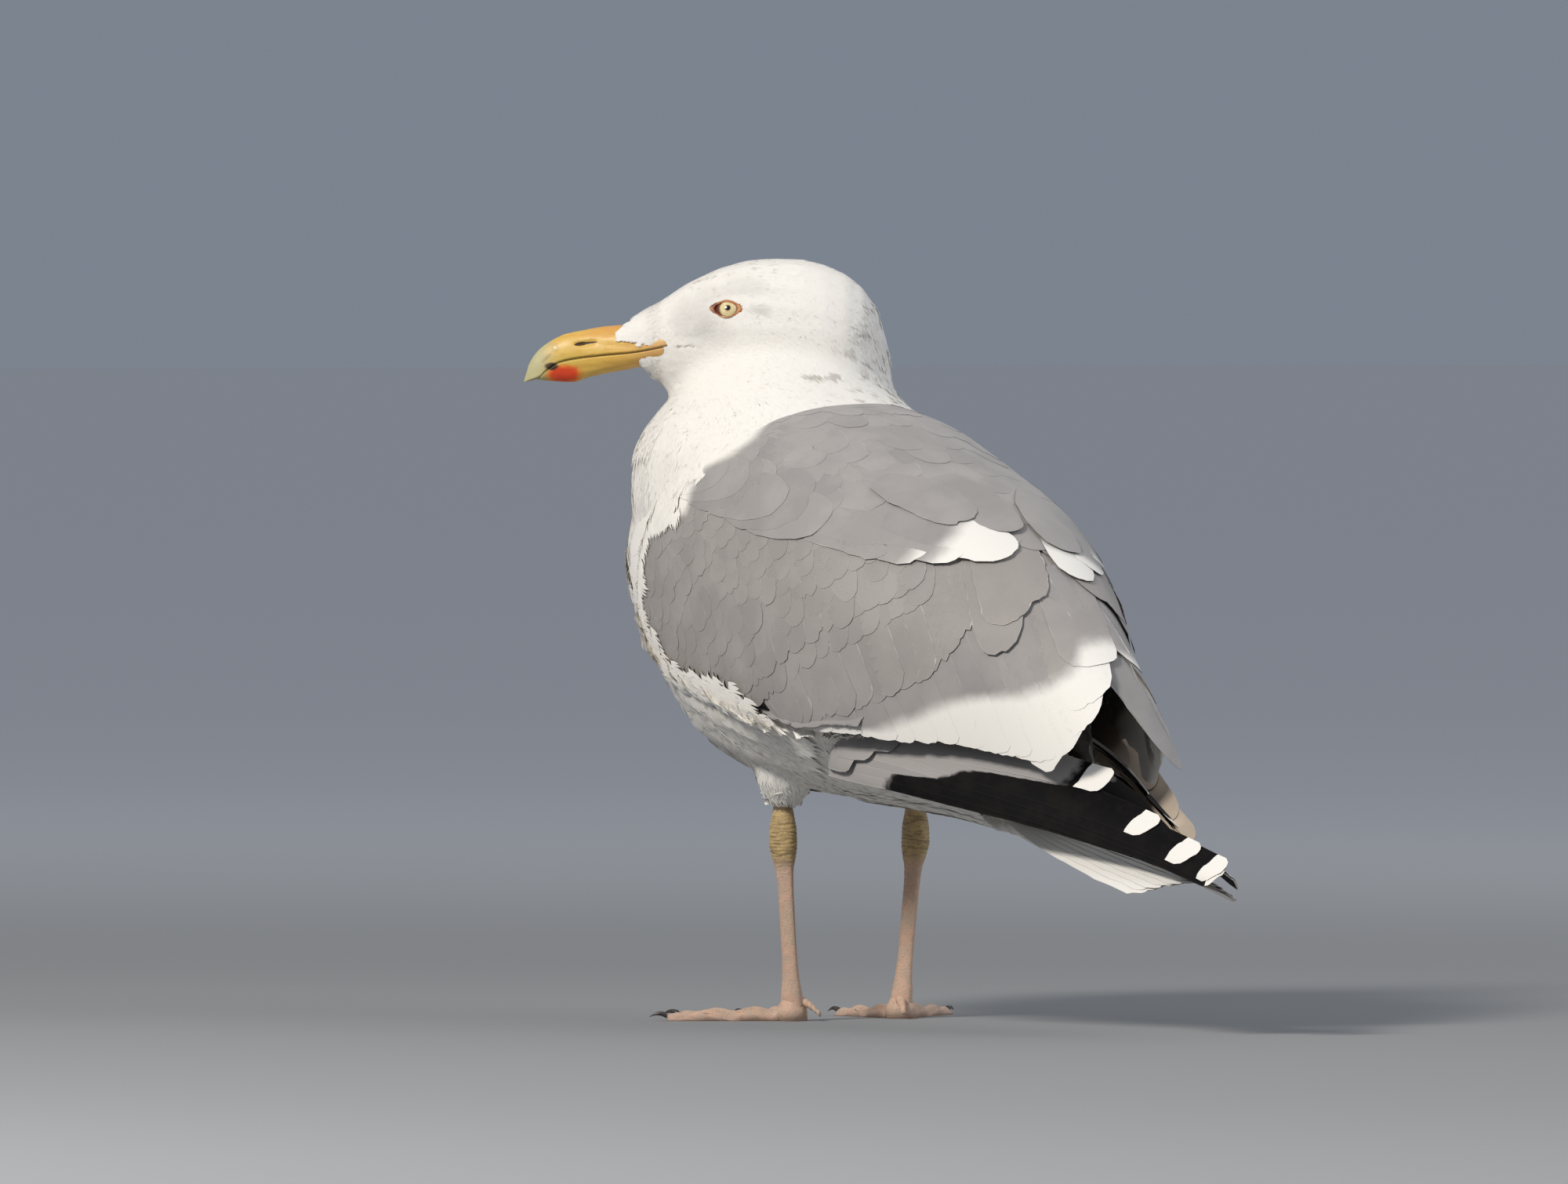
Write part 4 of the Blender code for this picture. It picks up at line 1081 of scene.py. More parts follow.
def makeTufts(kind, roots, random, level):
    # each root gives a path marched along the shell, and a fan of strands along that path
    count, steps, strands = len(roots), coats["steps"].get(kind, 5), coats["strands"].get(kind, 7)
    onThigh = kind == "thighs"
    spots, normals = onShell(roots)
    size = coatSize(roots)
    lengths = coats["length"] * size**0.92 * random.uniform(0.84, 1.16, count)
    width = (coats["width"] * size)[:, None, None]
    stand = (coats["stand"] * size)[:, None, None] * (2.4 if onThigh else 1)
    turns = np.radians(coats["turn"] * (2 if onThigh else 1)) * random.normal(0, 1, count)
    stations = []
    for step in range(steps + 1):
        lay = layOfCoat(spots, normals)
        lay = lay * np.cos(turns)[:, None] + np.cross(normals, lay) * np.sin(turns)[:, None]
        stations.append((spots, normals, np.cross(normals, lay)))
        if step < steps:
            spots, normals = onShell(pastEye(spots + lay * (lengths / steps)[:, None]))
    path, outward, aside = (np.stack(x, 1) for x in zip(*stations))  # (tuft, step, 3)
    spread = np.linspace(-1, 1, strands)[None, :, None] + random.normal(0, 0.09, (count, strands, 1))
    reach = (1 - 0.26 * spread**2) * random.uniform(0.56 if onThigh else 0.8, 1.0, (count, strands, 1))
    rows = np.arange(steps + 1) / steps
    s = rows * reach  # (tuft, strand, row)
    at = np.clip(s * steps, 0, steps - 1e-6)
    low = at.astype(int)
    part = (at - low)[..., None]
    tuft = np.arange(count)[:, None, None]

    def along(table):
        return table[tuft, low] * (1 - part) + table[tuft, low + 1] * part

    middle, up, cross = along(path), unit(along(outward)), unit(along(aside))
    depth = coatDepth(path[:, 0])[:, None, None]
    fan = 0.3 + 0.7 * np.sin(np.clip(s * 1.25, 0, 1) * math.pi / 2)
    offset = spread * fan * width / 2
    rise = 1 - (1 - np.clip(s / coats["rise"], 0, 1)) ** 2.2
    slope = coats["roughSlope"] if kind in ("belly", "rump", "thighs") else coats["slope"]
    climb = slope * lengths[:, None, None]
    uneven = random.normal(0, 0.05, (count, 1, 1)) * climb
    uneven = uneven + random.normal(0, 0.03, (count, strands, 1)) * climb
    camber = 0.006 * width * spread**2 * fan
    ahead, _, above = inHead(path[:, 0])
    nape = ease(-ahead, 0.026, 0.04) * ease(above, -0.05, -0.03) * ease(-above, -0.03, -0.012)
    loose = {"thighs": 0.7, "belly": 0.04, "rump": 0.05}.get(kind, coats["stray"])
    loose = loose + (coats["strayNape"] - loose) * nape * (kind in ("head", "neck"))
    loose = np.where(random.random(count) < loose, random.uniform(0.3, 1.5, count) * (1 + 0.8 * nape), 0.0)
    curl = (stand + 0.0004 * nape[:, None, None]) * loose[:, None, None]
    curl = curl * random.uniform(0.6, 1.3, (count, strands, 1)) * s**2
    crease = ease(ahead, 0.03, 0.034) * ease(-ahead, -0.0435, -0.04) * hump(above, -0.0075, 0.0007)
    curl = curl - 0.0005 * crease[:, None, None]
    level = level + 0.0008 * ease(ahead, 0.047, 0.055) * (above > -0.05)
    level = (level - thighTuck(path[:, 0], outward[:, 0]))[:, None, None]
    lift = level - depth * (1 - rise) - climb * (1 - s) + uneven * s + curl - camber
    half = width / strands * 0.9 * (1 - 0.72 * rows**1.8)
    centre = middle + cross * offset[..., None] + up * lift[..., None]
    edge = cross * half[..., None]
    tilt = up * (half * 0.03 * spread)[..., None]
    points = laced(centre - edge + tilt, centre + edge - tilt, centre)
    # shading normals stay near the body's own, so that the coat looks soft
    soft = unit(up + cross * (0.12 * spread)[..., None])
    steep = unit(np.cross(-cross, np.gradient(centre, axis=2)))
    soft = soft + (steep - soft) * ease(-(steep * soft).sum(-1), -0.75, -0.35)[..., None]
    facing = unit(laced(soft - cross * 0.06, soft + cross * 0.06, soft))
    starts = (np.arange(count * strands) * (2 * steps + 1))[:, None, None]
    ladder = np.array([[2 * k + 1, 2 * k, 2 * k + 2, 2 * k + 3] for k in range(steps - 1)])
    quads = (starts + ladder[None]).reshape(-1, 4)
    tips = (starts[:, :, 0] + np.array([2 * steps - 1, 2 * steps - 2, 2 * steps])).reshape(-1, 3)
    fall = np.broadcast_to(rows, s.shape)
    down = laced(fall, fall, fall)
    tone = random.random((count, 1, 1)) * 0.7 + random.random((count, strands, 1)) * 0.3
    # each strand's patch of the map lies where its root is on the skin
    local = np.stack(np.broadcast_arrays(spread * 0.42, down - 0.5), -1)
    local[:, :, 0::2, 0] -= 0.04
    flat = np.clip(rootsOnMap(path[:, 0])[:, None, None, :] + local * coatLie["patch"], 0, 1)
    values = {"down": down.ravel(), "tone": np.broadcast_to(tone, down.shape).ravel(),
              "root": np.broadcast_to(path[:, :1, None], points.shape).reshape(-1, 3)}
    name = "coat_" + kind
    piece = newPiece(name, points, [quads, tips], whitePlumage, values, flat, facing=facing)
    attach(piece, "root")
    print(name, count, "tufts", 2 * len(quads) + len(tips), "triangles")


def coatRegions():
    # the parts of the shell that each group of tufts grows on
    middles = shellPoints[shellTriangles].mean(1)
    a, b, c = (shellPoints[shellTriangles[:, k]] for k in range(3))
    normals = unit(np.cross(b - a, c - a))
    names = np.array(shellNames)[nearestNodes(middles)]
    ahead, left, up = inHead(middles)
    z = middles[:, 2]
    bare = (ahead > through(coatLie["billEdge"], up)) & (up > -0.03)
    inward = np.where(ahead < lids["middleAhead"], 0.8, 0.96)
    long = (ahead - lids["middleAhead"]) / (coatLie["eyeLong"] * inward)
    high = (up - lids["middleUp"]) / (coatLie["eyeHigh"] * inward)
    bare |= (long**2 + high**2 < 1) & (np.abs(left) > 0.008)
    along, angle = hullPlace(middles)
    angle = np.abs(angle)
    covered = np.isin(names, coverNodes)
    front = covered & (along < through(hull["greyFront"], angle) - 0.003)
    flank = covered & ~front & (angle > through(coatLie["flankTop"], along)) & (along < 0.09)
    hidden = (along > 0.115) & (angle < 70) & (z > 0.09)
    white = ~bare & ~covered & ~hidden
    onHead = white & (z > 0.268) & ((ahead**2 + left**2) < 0.075**2)
    face = onHead & (ahead > 0.006) & (up > -0.034)
    onNeck = white & ~onHead & ((names == "neck") | (z > 0.225))
    thigh = white & np.isin(names, ["thigh_left", "thigh_right"])
    rump = white & (names == "rump")
    rest = white & ~onHead & ~onNeck & ~thigh & ~rump
    belly = rest & ((z < 0.15) | (normals[:, 2] < -0.55))
    return {"face": face, "head": onHead & ~face, "neck": onNeck, "breast": rest & ~belly, "belly": belly,
            "rump": rump, "thighs": thigh, "front": front, "flank": flank}


def makeCoat():
    for kind, region in coatRegions().items():
        random = np.random.default_rng(len(kind) * 7 + 3)
        spacing = coats["gap"] * (0.8 if kind == "thighs" else 1.0)
        roots = spreadRoots(shellTriangles[region], spacing, random)
        along, angle = hullPlace(roots)
        belowTop = np.abs(angle) - through(coatLie["flankTop"], along)
        level = coatLie["flankLevel"] * ease(-belowTop, -34, -3) * (along < 0.085)
        level = level * (1.0 if kind == "flank" else ease(belowTop, -6, 0) * (kind in ("breast", "belly")))
        makeTufts(kind, roots, random, level)


makeCoat()

# modelled feathers: thin closed blades with a shaft, a rounded frayed tip and barbs
vane = {
    "thick": 0.00022,
    "edgeThick": 0.00004,
    "barbGap": 0.00085,
}


def featherGrid(spec, lengths, widths, random):
    # flat outlines: distance down each feather and across it, for every feather, row and column
    tips = len(lengths), 1, spec["columns"]
    s = np.linspace(0, 1, spec["rows"])[None, :, None]
    c = np.linspace(-1, 1, spec["columns"])[None, None, :]
    half = widths / 2
    rounded = spec["roundness"] * half * (1 - np.sqrt(np.clip(1 - 0.985 * np.abs(c) ** 2.2, 0, 1)))
    jitter = random.normal(0, 1, tips) * spec["fray"]
    cuts = (random.random(tips) < spec["notches"] / spec["columns"]) * random.uniform(0.001, 0.003, tips)
    cuts[..., 0] = cuts[..., -1] = 0
    reach = lengths - rounded + spec["lean"] * c * half - np.abs(jitter) - cuts
    down = reach * s**0.9
    swell = spec["taper"] + (1 - spec["taper"]) * np.sin(np.clip(s / 0.45, 0, 1) * math.pi / 2)
    swell = swell * (1 - 0.1 * ease(s, 0.75, 1.0))
    ripple = random.normal(0, 1, (len(lengths), spec["rows"], 1)) * spec["fray"] * 0.5 * np.abs(c) ** 6
    return down, c * half * swell + ripple * np.sign(c), s, c


def blades(name, top, under, material, values, flip, softTo=None):
    # closed blades from upper and lower grids (feather, row, column, 3), each with its own patch of the map
    count, rows, columns = top.shape[:3]
    size = rows * columns
    grid = gridFaces(rows, columns)
    index = np.arange(size).reshape(rows, columns)
    rim = np.concatenate([index[:, 0], index[-1, 1:], index[-2::-1, -1], index[0, -2:0:-1]])
    nextRim = np.roll(rim, -1)
    wall = np.stack([rim, rim + size, nextRim + size, nextRim], -1)
    one = np.concatenate([grid, grid[:, ::-1] + size, wall[:, ::-1]])
    faces = one[None] + (np.arange(count) * 2 * size)[:, None, None]
    faces[flip] = faces[flip][:, :, ::-1]
    normal = unit(np.cross(np.gradient(top, axis=2), np.gradient(top, axis=1)))
    normal = normal * np.where(flip, -1.0, 1.0)[:, None, None, None]
    if softTo is not None:
        normal = unit(normal * 0.5 + softTo * 0.5)
    values = {k: np.repeat(np.broadcast_to(v, (count, rows, columns))[:, None], 2, 1).ravel()
              for k, v in values.items()}
    across = int(math.ceil(math.sqrt(count * 2)))
    s, c = np.meshgrid(np.linspace(0.06, 0.94, rows), np.linspace(0.06, 0.94, columns), indexing="ij")
    slots = np.arange(count * 2).reshape(count, 2)
    corner = np.stack([slots % across, slots // across], -1) * (1 / across)
    flat = corner[:, :, None, :] + np.stack([c, s], -1).reshape(1, 1, size, 2) * (1 / across)
    piece = newPiece(name, np.stack([top, under], 1), [faces.reshape(-1, 4)], material, values, flat,
                     facing=np.stack([normal, -normal], 1))
    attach(piece, "root")
    print(name, count, "feathers", 2 * len(faces.reshape(-1, 4)), "triangles")
    return piece


def bladeValues(down, across, s, c, lengths, widths, random):
    # for the shader: barbs, distance to the edge, the feather's own tones, how far down it, and its shaft
    slant = down + np.abs(across) * 0.75
    edge = np.minimum(widths / 2 * (1 - np.abs(c)), lengths * (1 - s) + 0.0002)
    return {"barb": slant / vane["barbGap"], "edge": edge * 1000, "tone": random.random(lengths.shape),
            "down": s, "shaft": np.abs(c + 0.1) * (widths / 2) * 1000, "own": random.random(lengths.shape)}


def shaftLine(wire, wide, start, end):
    return wire.value("shaft").between(wide, 0.1) * (1.0 - wire.value("down").between(start, end))


def barbRelief(wire, where, barb):
    return wire.bump(barb * 0.5 + wire.noise(where, 1400.0, 2.0), 0.3, 0.00012)


def vanePaint(name, base, pale):
    # barbs, shaft line, pale rim, white ends, the feather's own tone, and painted shade toward the root
    # where the feather above lies over it
    paint, wire = newMaterial(name)
    where = wire.place()

    def times(*factors):
        return tuple(x * factor for x, factor in zip(base, factors))

    blotch = wire.noise(where, 46.0, 3.0, 0.55)
    barbLine = (wire.value("barb") * (2 * math.pi) + wire.noise(where, 300.0) * 5.0).sine()
    barbs = barbLine.between(-0.2, 1.0)
    rim = wire.value("edge").between(0.6, 0.05) * wire.value("rim")
    rim = rim * wire.noise(where, 120.0, 2.0).between(0.42, 0.66)
    ragged = wire.value("white") + (wire.noise(where, 150.0, 3.0, 0.6) - 0.5) * 4.0
    colour = wire.layered(base,
                          (blotch.between(0.38, 0.64) * 0.5 + wire.value("tone") * 0.5, pale),
                          # painted shade: each feather darker toward its root, where the one above lies over
                          # it
                          (wire.value("down").between(0.95, 0.35) * 0.2, times(0.8, 0.8, 0.8)),
                          (wire.value("warm") * 0.55, times(1.03, 0.963, 0.873)),
                          (barbs * 0.08, times(0.55, 0.55, 0.55)),
                          (rim * 0.8, (0.62, 0.6, 0.57)),
                          (shaftLine(wire, 0.3, 0.7, 0.95) * 0.3, times(0.55, 0.55, 0.55)),
                          ((ragged + (wire.value("own") - 0.5) * 2.0).between(-6.5, 4.5),
                           wire.mix(barbs * 0.1, plumage["white"], plumage["shade"])))
    surface(wire, colour, 0.62, normal=barbRelief(wire, where, barbLine), sheen=0.08, sheenRough=0.5,
            shine=0.3)
    return paint


greyVane = vanePaint("greyVane", plumage["grey"], plumage["greyPale"])

# where the folded wing's feathers turn white, by the angle from the ridge; and where the tracts end
tracts = {
    "white": [(0, 0.178), (12, 0.178), (22, 0.186), (30, 0.188), (50, 0.181), (62, 0.168), (72, 0.154),
              (80, 0.145), (86, 0.136), (90, 0.128), (96, 0.113), (100, 0.103), (104, 0.093), (112, 0.084)],
    "medianTips": [(44, 0.112), (50, 0.107), (62, 0.1), (73, 0.089), (83, 0.077), (93, 0.065), (98, 0.059),
                   (105, 0.05), (113, 0.04), (122, 0.03)],
    "mantleEnd": [(0, 0.118), (6, 0.116), (17, 0.11), (30, 0.1), (38, 0.086), (43, 0.068), (52, 0.02),
                  (58, -0.036)],
}


def layTract(spec, plan, random, side):
    # plan rows: along and angle of the tip, heading in degrees, length, width, lift, rim, warm, white
    plan = np.array(plan, float).T[..., None, None]
    tipAlong, tipAngle, heading, lengths, widths, base, rim, warm, whiteBy = plan
    turn = np.radians(heading)
    rootAlong = tipAlong - lengths * np.cos(turn)
    rootRound = roundAt(tipAlong, tipAngle) - lengths * np.sin(turn)
    down, across, s, c = featherGrid(spec, lengths, widths, random)
    sideways = across + spec["bow"] * np.sin(math.pi * s) * lengths
    along = rootAlong + down * np.cos(turn) - sideways * np.sin(turn)
    around = rootRound + down * np.sin(turn) + sideways * np.cos(turn)
    # what would hang below the wing's lower edge turns in under it
    low = roundAt(along, through(hull["wingLowAngle"], along) + 4)
    beyond = np.maximum(around - low, 0)
    around = around - 0.85 * beyond
    lift = base - spec["rise"] * (lengths - down) - spec["roll"] * across
    lift = lift - spec["camber"] * (widths / 2) * np.abs(c) ** 2.4
    lift = lift - np.minimum(0.25 * beyond, 0.003) + 0.00016 * hump(c, -0.1, 0.09) * (1 - s)
    lift = lift + random.normal(0, 1, lengths.shape) * spec["uneven"] * s
    top, normal = onHull(along, around * side, lift)
    thick = vane["edgeThick"] + (vane["thick"] - vane["edgeThick"]) * (1 - np.abs(c) ** 2) * (1 - 0.6 * s)
    under = top - normal * thick[..., None]
    values = bladeValues(down, across, s, c, lengths, widths, random)
    trunkAlong, angle = (x.reshape(along.shape) for x in hullPlace(top.reshape(-1, 3)))
    angle = np.abs(angle)
    byPlace = (trunkAlong - through(tracts["white"], angle)) * 1000
    ofTip = (down - (lengths - np.maximum(whiteBy, 0))) * 1000 + 3 * np.abs(c) ** 2
    white = np.where(whiteBy < 0, byPlace, np.where(whiteBy == 0, -30.0, ofTip))
    paleFront = (through(hull["greyFront"], angle) + 0.006 - trunkAlong) * 1000 * 1.3
    values.update(white=np.maximum(white, paleFront), rim=rim, warm=warm)
    values = {k: np.broadcast_to(v, along.shape) for k, v in values.items()}
    return top, under, values, np.full(len(lengths), side < 0), normal


def gatherTracts(name, *parts):
    top, under, flips, normals = (np.concatenate([p[i] for p in parts]) for i in (0, 1, 3, 4))
    values = {k: np.concatenate([p[2][k] for p in parts]) for k in parts[0][2]}
    return blades(name, top, under, greyVane, values, flips, normals)


def angleOf(along, around):
    # degrees from the ridge of a distance round the hull
    row = int(np.clip(round((along - chartAlong[0]) / hull["step"]), 0, len(chartAlong) - 1))
    return math.degrees(np.interp(abs(around), arcTable[row], chartAngles))


mantle = {
    "rows": 9, "columns": 9,
    "rise": 0.009, "roll": 0.0, "camber": 0.005, "bow": 0.0, "uneven": 0.00006,
    "roundness": 1.0, "fray": 0.0003, "notches": 0.6, "taper": 0.5, "lean": 0.0,
    "bands": 12,
    "lift": 0.0016,
    "leftScapulars": [
        (0.086, 40, -22, 0.052, 0.021, 0.0021, 0.45, 0.2, 0),
        (0.099, 33, -27, 0.056, 0.023, 0.0024, 0.45, 0.2, 0.003),
        (0.11, 23, -31, 0.058, 0.025, 0.0028, 0.5, 0.1, 0.009),
        (0.1195, 9.5, -36, 0.06, 0.028, 0.0033, 0.2, 0, 0.026),
        (0.106, 4, -8, 0.05, 0.024, 0.0036, 0.3, 0.1, 0),
        (0.094, 14, -20, 0.05, 0.024, 0.0037, 0.3, 0.1, 0),
    ],
    "rightScapulars": [
        (0.098, 36, -20, 0.054, 0.022, 0.0021, 0.45, 0.2, 0),
        (0.112, 27, -24, 0.056, 0.023, 0.0023, 0.45, 0.2, 0.002),
        (0.127, 17, -24, 0.058, 0.024, 0.0026, 0.5, 0.1, 0.008),
        (0.1385, 6, -20, 0.062, 0.024, 0.0029, 0.2, 0, 0.019),
        (0.12, 9, -12, 0.052, 0.024, 0.0034, 0.3, 0.1, 0),
    ],
}


def makeMantle():
    # rows of tips that pass from the front edge to the scapulars' end
    random = np.random.default_rng(51)
    parts = []
    for side in (1, -1):
        plan = []
        for band in range(mantle["bands"] + 1):
            u = (band / mantle["bands"]) ** 1.15
            width = 0.0135 + 0.0115 * u
            length = 0.024 + 0.027 * u
            for k in range(60):
                angle = angleOf(-0.04 + 0.14 * u, (k + 0.5 * (band % 2)) * width * 0.6)
                start = through(hull["greyFront"], angle) + 0.01
                end = through(tracts["mantleEnd"], angle)
                if angle > 57 or end < start:
                    break
                if side < 0 and angle < 1.0:
                    continue
                tip = start + (end - start) * u + random.normal(0, 0.0011)
                heading = -angle / 58 * (3 + 24 * u) + random.normal(0, 2.0)
                plan.append((tip, angle, heading, length * random.uniform(0.94, 1.06),
                             width * random.uniform(0.94, 1.06), mantle["lift"] + 0.0004 * u, 0.25, 0.12, 0))
        parts.append(layTract(mantle, plan, random, side))
    long = dict(mantle, rows=14, columns=11, rise=0.012, roll=0.006, camber=0.03, bow=-0.02)
    scapulars = [layTract(long, mantle[which], random, side)
                 for which, side in (("leftScapulars", 1), ("rightScapulars", -1))]
    piece = gatherTracts("mantle_feathers", *parts)
    gatherTracts("scapular_feathers", *scapulars)
    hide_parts("mantle")


makeMantle()

# folded wings, from the small feathers at the bend to the white-ended ones behind
wing = {
    "rows": 8, "columns": 7,
    "rise": 0.009, "roll": 0.005, "camber": 0.004, "bow": 0.0, "uneven": 0.00006,
    "roundness": 0.95, "fray": 0.00026, "notches": 0.4, "taper": 0.5, "lean": 0.0,
    "bands": 11,
    "greatTips": [(0.086, 106), (0.092, 102), (0.0985, 97.5), (0.105, 93.5), (0.1115, 90), (0.118, 86.5),
                  (0.124, 83), (0.1295, 79), (0.134, 74.5), (0.138, 69.5), (0.141, 64), (0.142, 58),
                  (0.141, 51.5), (0.138, 45)],
    "secondaryTips": [(0.088, 107), (0.096, 104.5), (0.104, 101.5), (0.112, 98.5), (0.12, 95.8),
                      (0.128, 93.4), (0.1365, 91), (0.146, 88), (0.156, 85), (0.166, 82.3), (0.177, 79.5),
                      (0.188, 76.5), (0.199, 72.5)],
}
# broad inner feathers: the left wing's from the lowest to the one next to the ridge that lies over the
# others, and the right wing's, which cross the ridge under the left wing's and point away from it
shortTertials = [
    (0.16, 44, 22, 0.062, 0.024, 0.0014, 0.7, 0.5, 0),
    (0.152, 33, 20, 0.06, 0.024, 0.0017, 0.9, 0.8, 0),
    (0.148, 20, 18, 0.052, 0.022, 0.0018, 0.9, 0.8, 0),
]
tertials = {
    "left": [
        (0.2095, 66, 6, 0.098, 0.029, 0.0004, 0.3, 0.15, -1),
        (0.212, 56, 9, 0.1, 0.029, 0.0006, 0.35, 0.3, -1),
        (0.2115, 45, 12, 0.1, 0.029, 0.0008, 0.4, 0.5, -1),
        (0.205, 33, 14, 0.1, 0.029, 0.001, 0.5, 0.6, -1),
        shortTertials[0],
        (0.19, 14, 13, 0.094, 0.029, 0.0013, 0.5, 0.5, -1),
        *shortTertials[1:],
    ],
    "right": [
        (0.2095, 76, 12, 0.096, 0.029, 0.0002, 0.4, 0.15, -1),
        (0.211, 66, 14, 0.098, 0.027, 0.0004, 0.6, 0.3, 0.004),
        (0.203, 45, 25, 0.09, 0.027, 0.0008, 1.0, 0.4, 0.004),
        (0.188, 27, 22, 0.086, 0.027, 0.0011, 1.0, 0.4, 0.005),
        *shortTertials,
    ],
}


def smallCoverts(random):
    plan = []
    for band in range(wing["bands"] + 1):
        u = band / wing["bands"]
        width = 0.007 + 0.0058 * u
        length = 0.0145 + 0.0125 * u
        around = 0.04 + 0.25 * width * (band % 2)
        while (angle := angleOf(-0.045 + 0.11 * u, around)) <= 126:
            around += width * 0.56
            start = through(hull["greyFront"], angle) + 0.005
            end = through(tracts["medianTips"], angle) - 0.012
            if end < start or angle < 36:
                continue
            tip = start + (end - start) * u + random.normal(0, 0.0009)
            top = through(hull["mantleAngle"], min(max(tip, -0.046), 0.126)) - 6
            if angle < top or angle > through(hull["wingLowAngle"], tip) + 4:
                continue
            heading = 20 + 12 * (angle - 50) / 60 + random.normal(0, 3.0)
            plan.append((tip, angle, heading, length * random.uniform(0.9, 1.1),
                         width * random.uniform(0.92, 1.08), 0.0012 - 0.0002 * u, 0.22, 0.45, 0))
    return plan


def medianCoverts(random):
    plan = []
    for row, count in ((0, 15), (1, 14)):
        for k in range(count):
            t = (k + 0.5 * row) / 14.5
            angle = 47 + 66 * t
            tip = through(tracts["medianTips"], angle) + 0.011 * row + random.normal(0, 0.0008)
            if angle <= through(hull["wingLowAngle"], tip) + 2:
                plan.append((tip, angle, 24 + 5 * t, 0.034, 0.0165, 0.001 - 0.0002 * row, 0.55, 0.4, 0))
    return plan


def greatCoverts(random):
    return [(along + random.normal(0, 0.0006), angle, 27 - 0.6 * k, 0.058, 0.0185, 0.0007, 0.85,
             0.25 + 0.03 * k, 0) for k, (along, angle) in enumerate(wing["greatTips"])]


def secondariesOf(random):
    return [(along + random.normal(0, 0.0007), angle, 25 - 0.9 * k, 0.062, 0.026, 0.0004, 0.35,
             0.1, -1) for k, (along, angle) in enumerate(wing["secondaryTips"])]


def makeWings():
    middle = dict(wing, rows=9, columns=9, rise=0.01, roll=0.006)
    long = dict(wing, rows=13, columns=9, rise=0.007, roll=0.01, camber=0.006, roundness=0.5, fray=0.00035,
                notches=0.7, bow=0.02)
    edge = dict(long, lean=-0.62, roundness=0.34, columns=11, notches=0.2)
    broad = dict(wing, rows=17, columns=13, rise=0.006, roll=0.02, camber=0.014, roundness=0.8,
                 fray=0.0004, notches=1.0, taper=0.6)
    for side, word in sides:
        random = np.random.default_rng(60 + side)
        piece = gatherTracts("wing_coverts_" + word, layTract(wing, smallCoverts(random), random, side))
        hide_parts("wing_" + word)
        for tract, spec, planOf in (("median_coverts_", middle, medianCoverts),
                                    ("great_coverts_", long, greatCoverts),
                                    ("secondaries_", edge, secondariesOf)):
            gatherTracts(tract + word, layTract(spec, planOf(random), random, side))
        tertial = gatherTracts("tertial_feathers_" + word, layTract(broad, tertials[word], random, side))
        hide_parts("tertials_" + word)


makeWings()

# folded primaries: blades stacked along a falling path, each longer one showing below the last
primary = {
    "path": [(0.0, 0.057, 0.072, 0.118), (0.25, 0.047, 0.125, 0.11), (0.5, 0.033, 0.175, 0.0985),
             (0.72, 0.019, 0.222, 0.0855), (0.88, 0.011, 0.258, 0.0745), (1.0, 0.007, 0.287, 0.0655),
             (1.12, 0.003, 0.316, 0.0565)],
    "depth": [(0.0, 0.02), (0.25, 0.031), (0.5, 0.035), (0.72, 0.027), (0.88, 0.018), (1.0, 0.006),
              (1.12, 0.005)],
    "thick": [(0.0, 0.004), (0.25, 0.007), (0.5, 0.008), (0.72, 0.006), (0.88, 0.004), (1.0, 0.002),
              (1.12, 0.001)],
    "tilt": [(0.0, 25), (0.25, 30), (0.5, 34), (0.72, 40), (0.88, 44), (1.12, 46)],
    "rightShift": (0.0, -0.008, -0.002),
    "length": 0.235,
    "rows": 30, "columns": 11,
    "roundness": 0.62, "fray": 0.00012, "notches": 0.0, "taper": 0.55, "lean": 0.1,
    # place along the path where black starts, by the height over the path
    "blackStart": [(-0.014, 0.185), (-0.006, 0.205), (-0.0045, 0.3), (0.0045, 0.41), (0.0075, 0.52),
                   (0.011, 0.6)],
    # tip and root along the path, height of tip and root over its middle, width, white end
    "feathers": [
        (0.676, 0.08, 0.02, 0.0085, 0.015, 0.013),
        (0.816, 0.08, 0.0082, 0.0065, 0.016, 0.0105),
        (0.925, 0.06, 0.0045, 0.0035, 0.0165, 0.0105),
        (0.992, 0.04, 0.0038, 0.0, 0.0165, 0.0085),
        (0.994, 0.03, 0.0016, -0.0042, 0.0155, 0.004),
        (0.9, 0.02, 0.0008, -0.008, 0.015, 0.0),
    ],
}
coverts = primary | {
    "feathers": [
        (0.205, 0.0, 0.0085, 0.008, 0.015, 0.0),
        (0.15, 0.0, 0.003, 0.003, 0.015, 0.0),
        (0.1, 0.0, -0.0045, -0.003, 0.013, 0.0),
    ],
}
# the inner faces of the right wing's long feathers, which show past the left wing's end
inside = primary | {
    "path": [(-0.45, 0.0657, 0.0884, 0.1395), (0.0, 0.0504, 0.1343, 0.1251), (0.5, 0.0334, 0.1853, 0.1091),
             (1.0, 0.0024, 0.2643, 0.0878)],
    "depth": [(-0.45, 0.03), (1.0, 0.03)],
    "thick": [(-0.45, 0.001), (1.0, 0.001)],
    "tilt": [(-0.45, -42), (1.0, -46)],
    "length": 0.139,
    "rows": 20,
    "roundness": 2.2,
    "feathers": [(1.0, -0.15, -0.0035, -0.005, 0.01, 0.0), (0.82, -0.15, -0.003, 0.0, 0.013, 0.0),
                 (0.58, -0.4, -0.001, 0.002, 0.015, 0.0), (0.3, -0.45, -0.006, -0.005, 0.016, 0.0)],
}
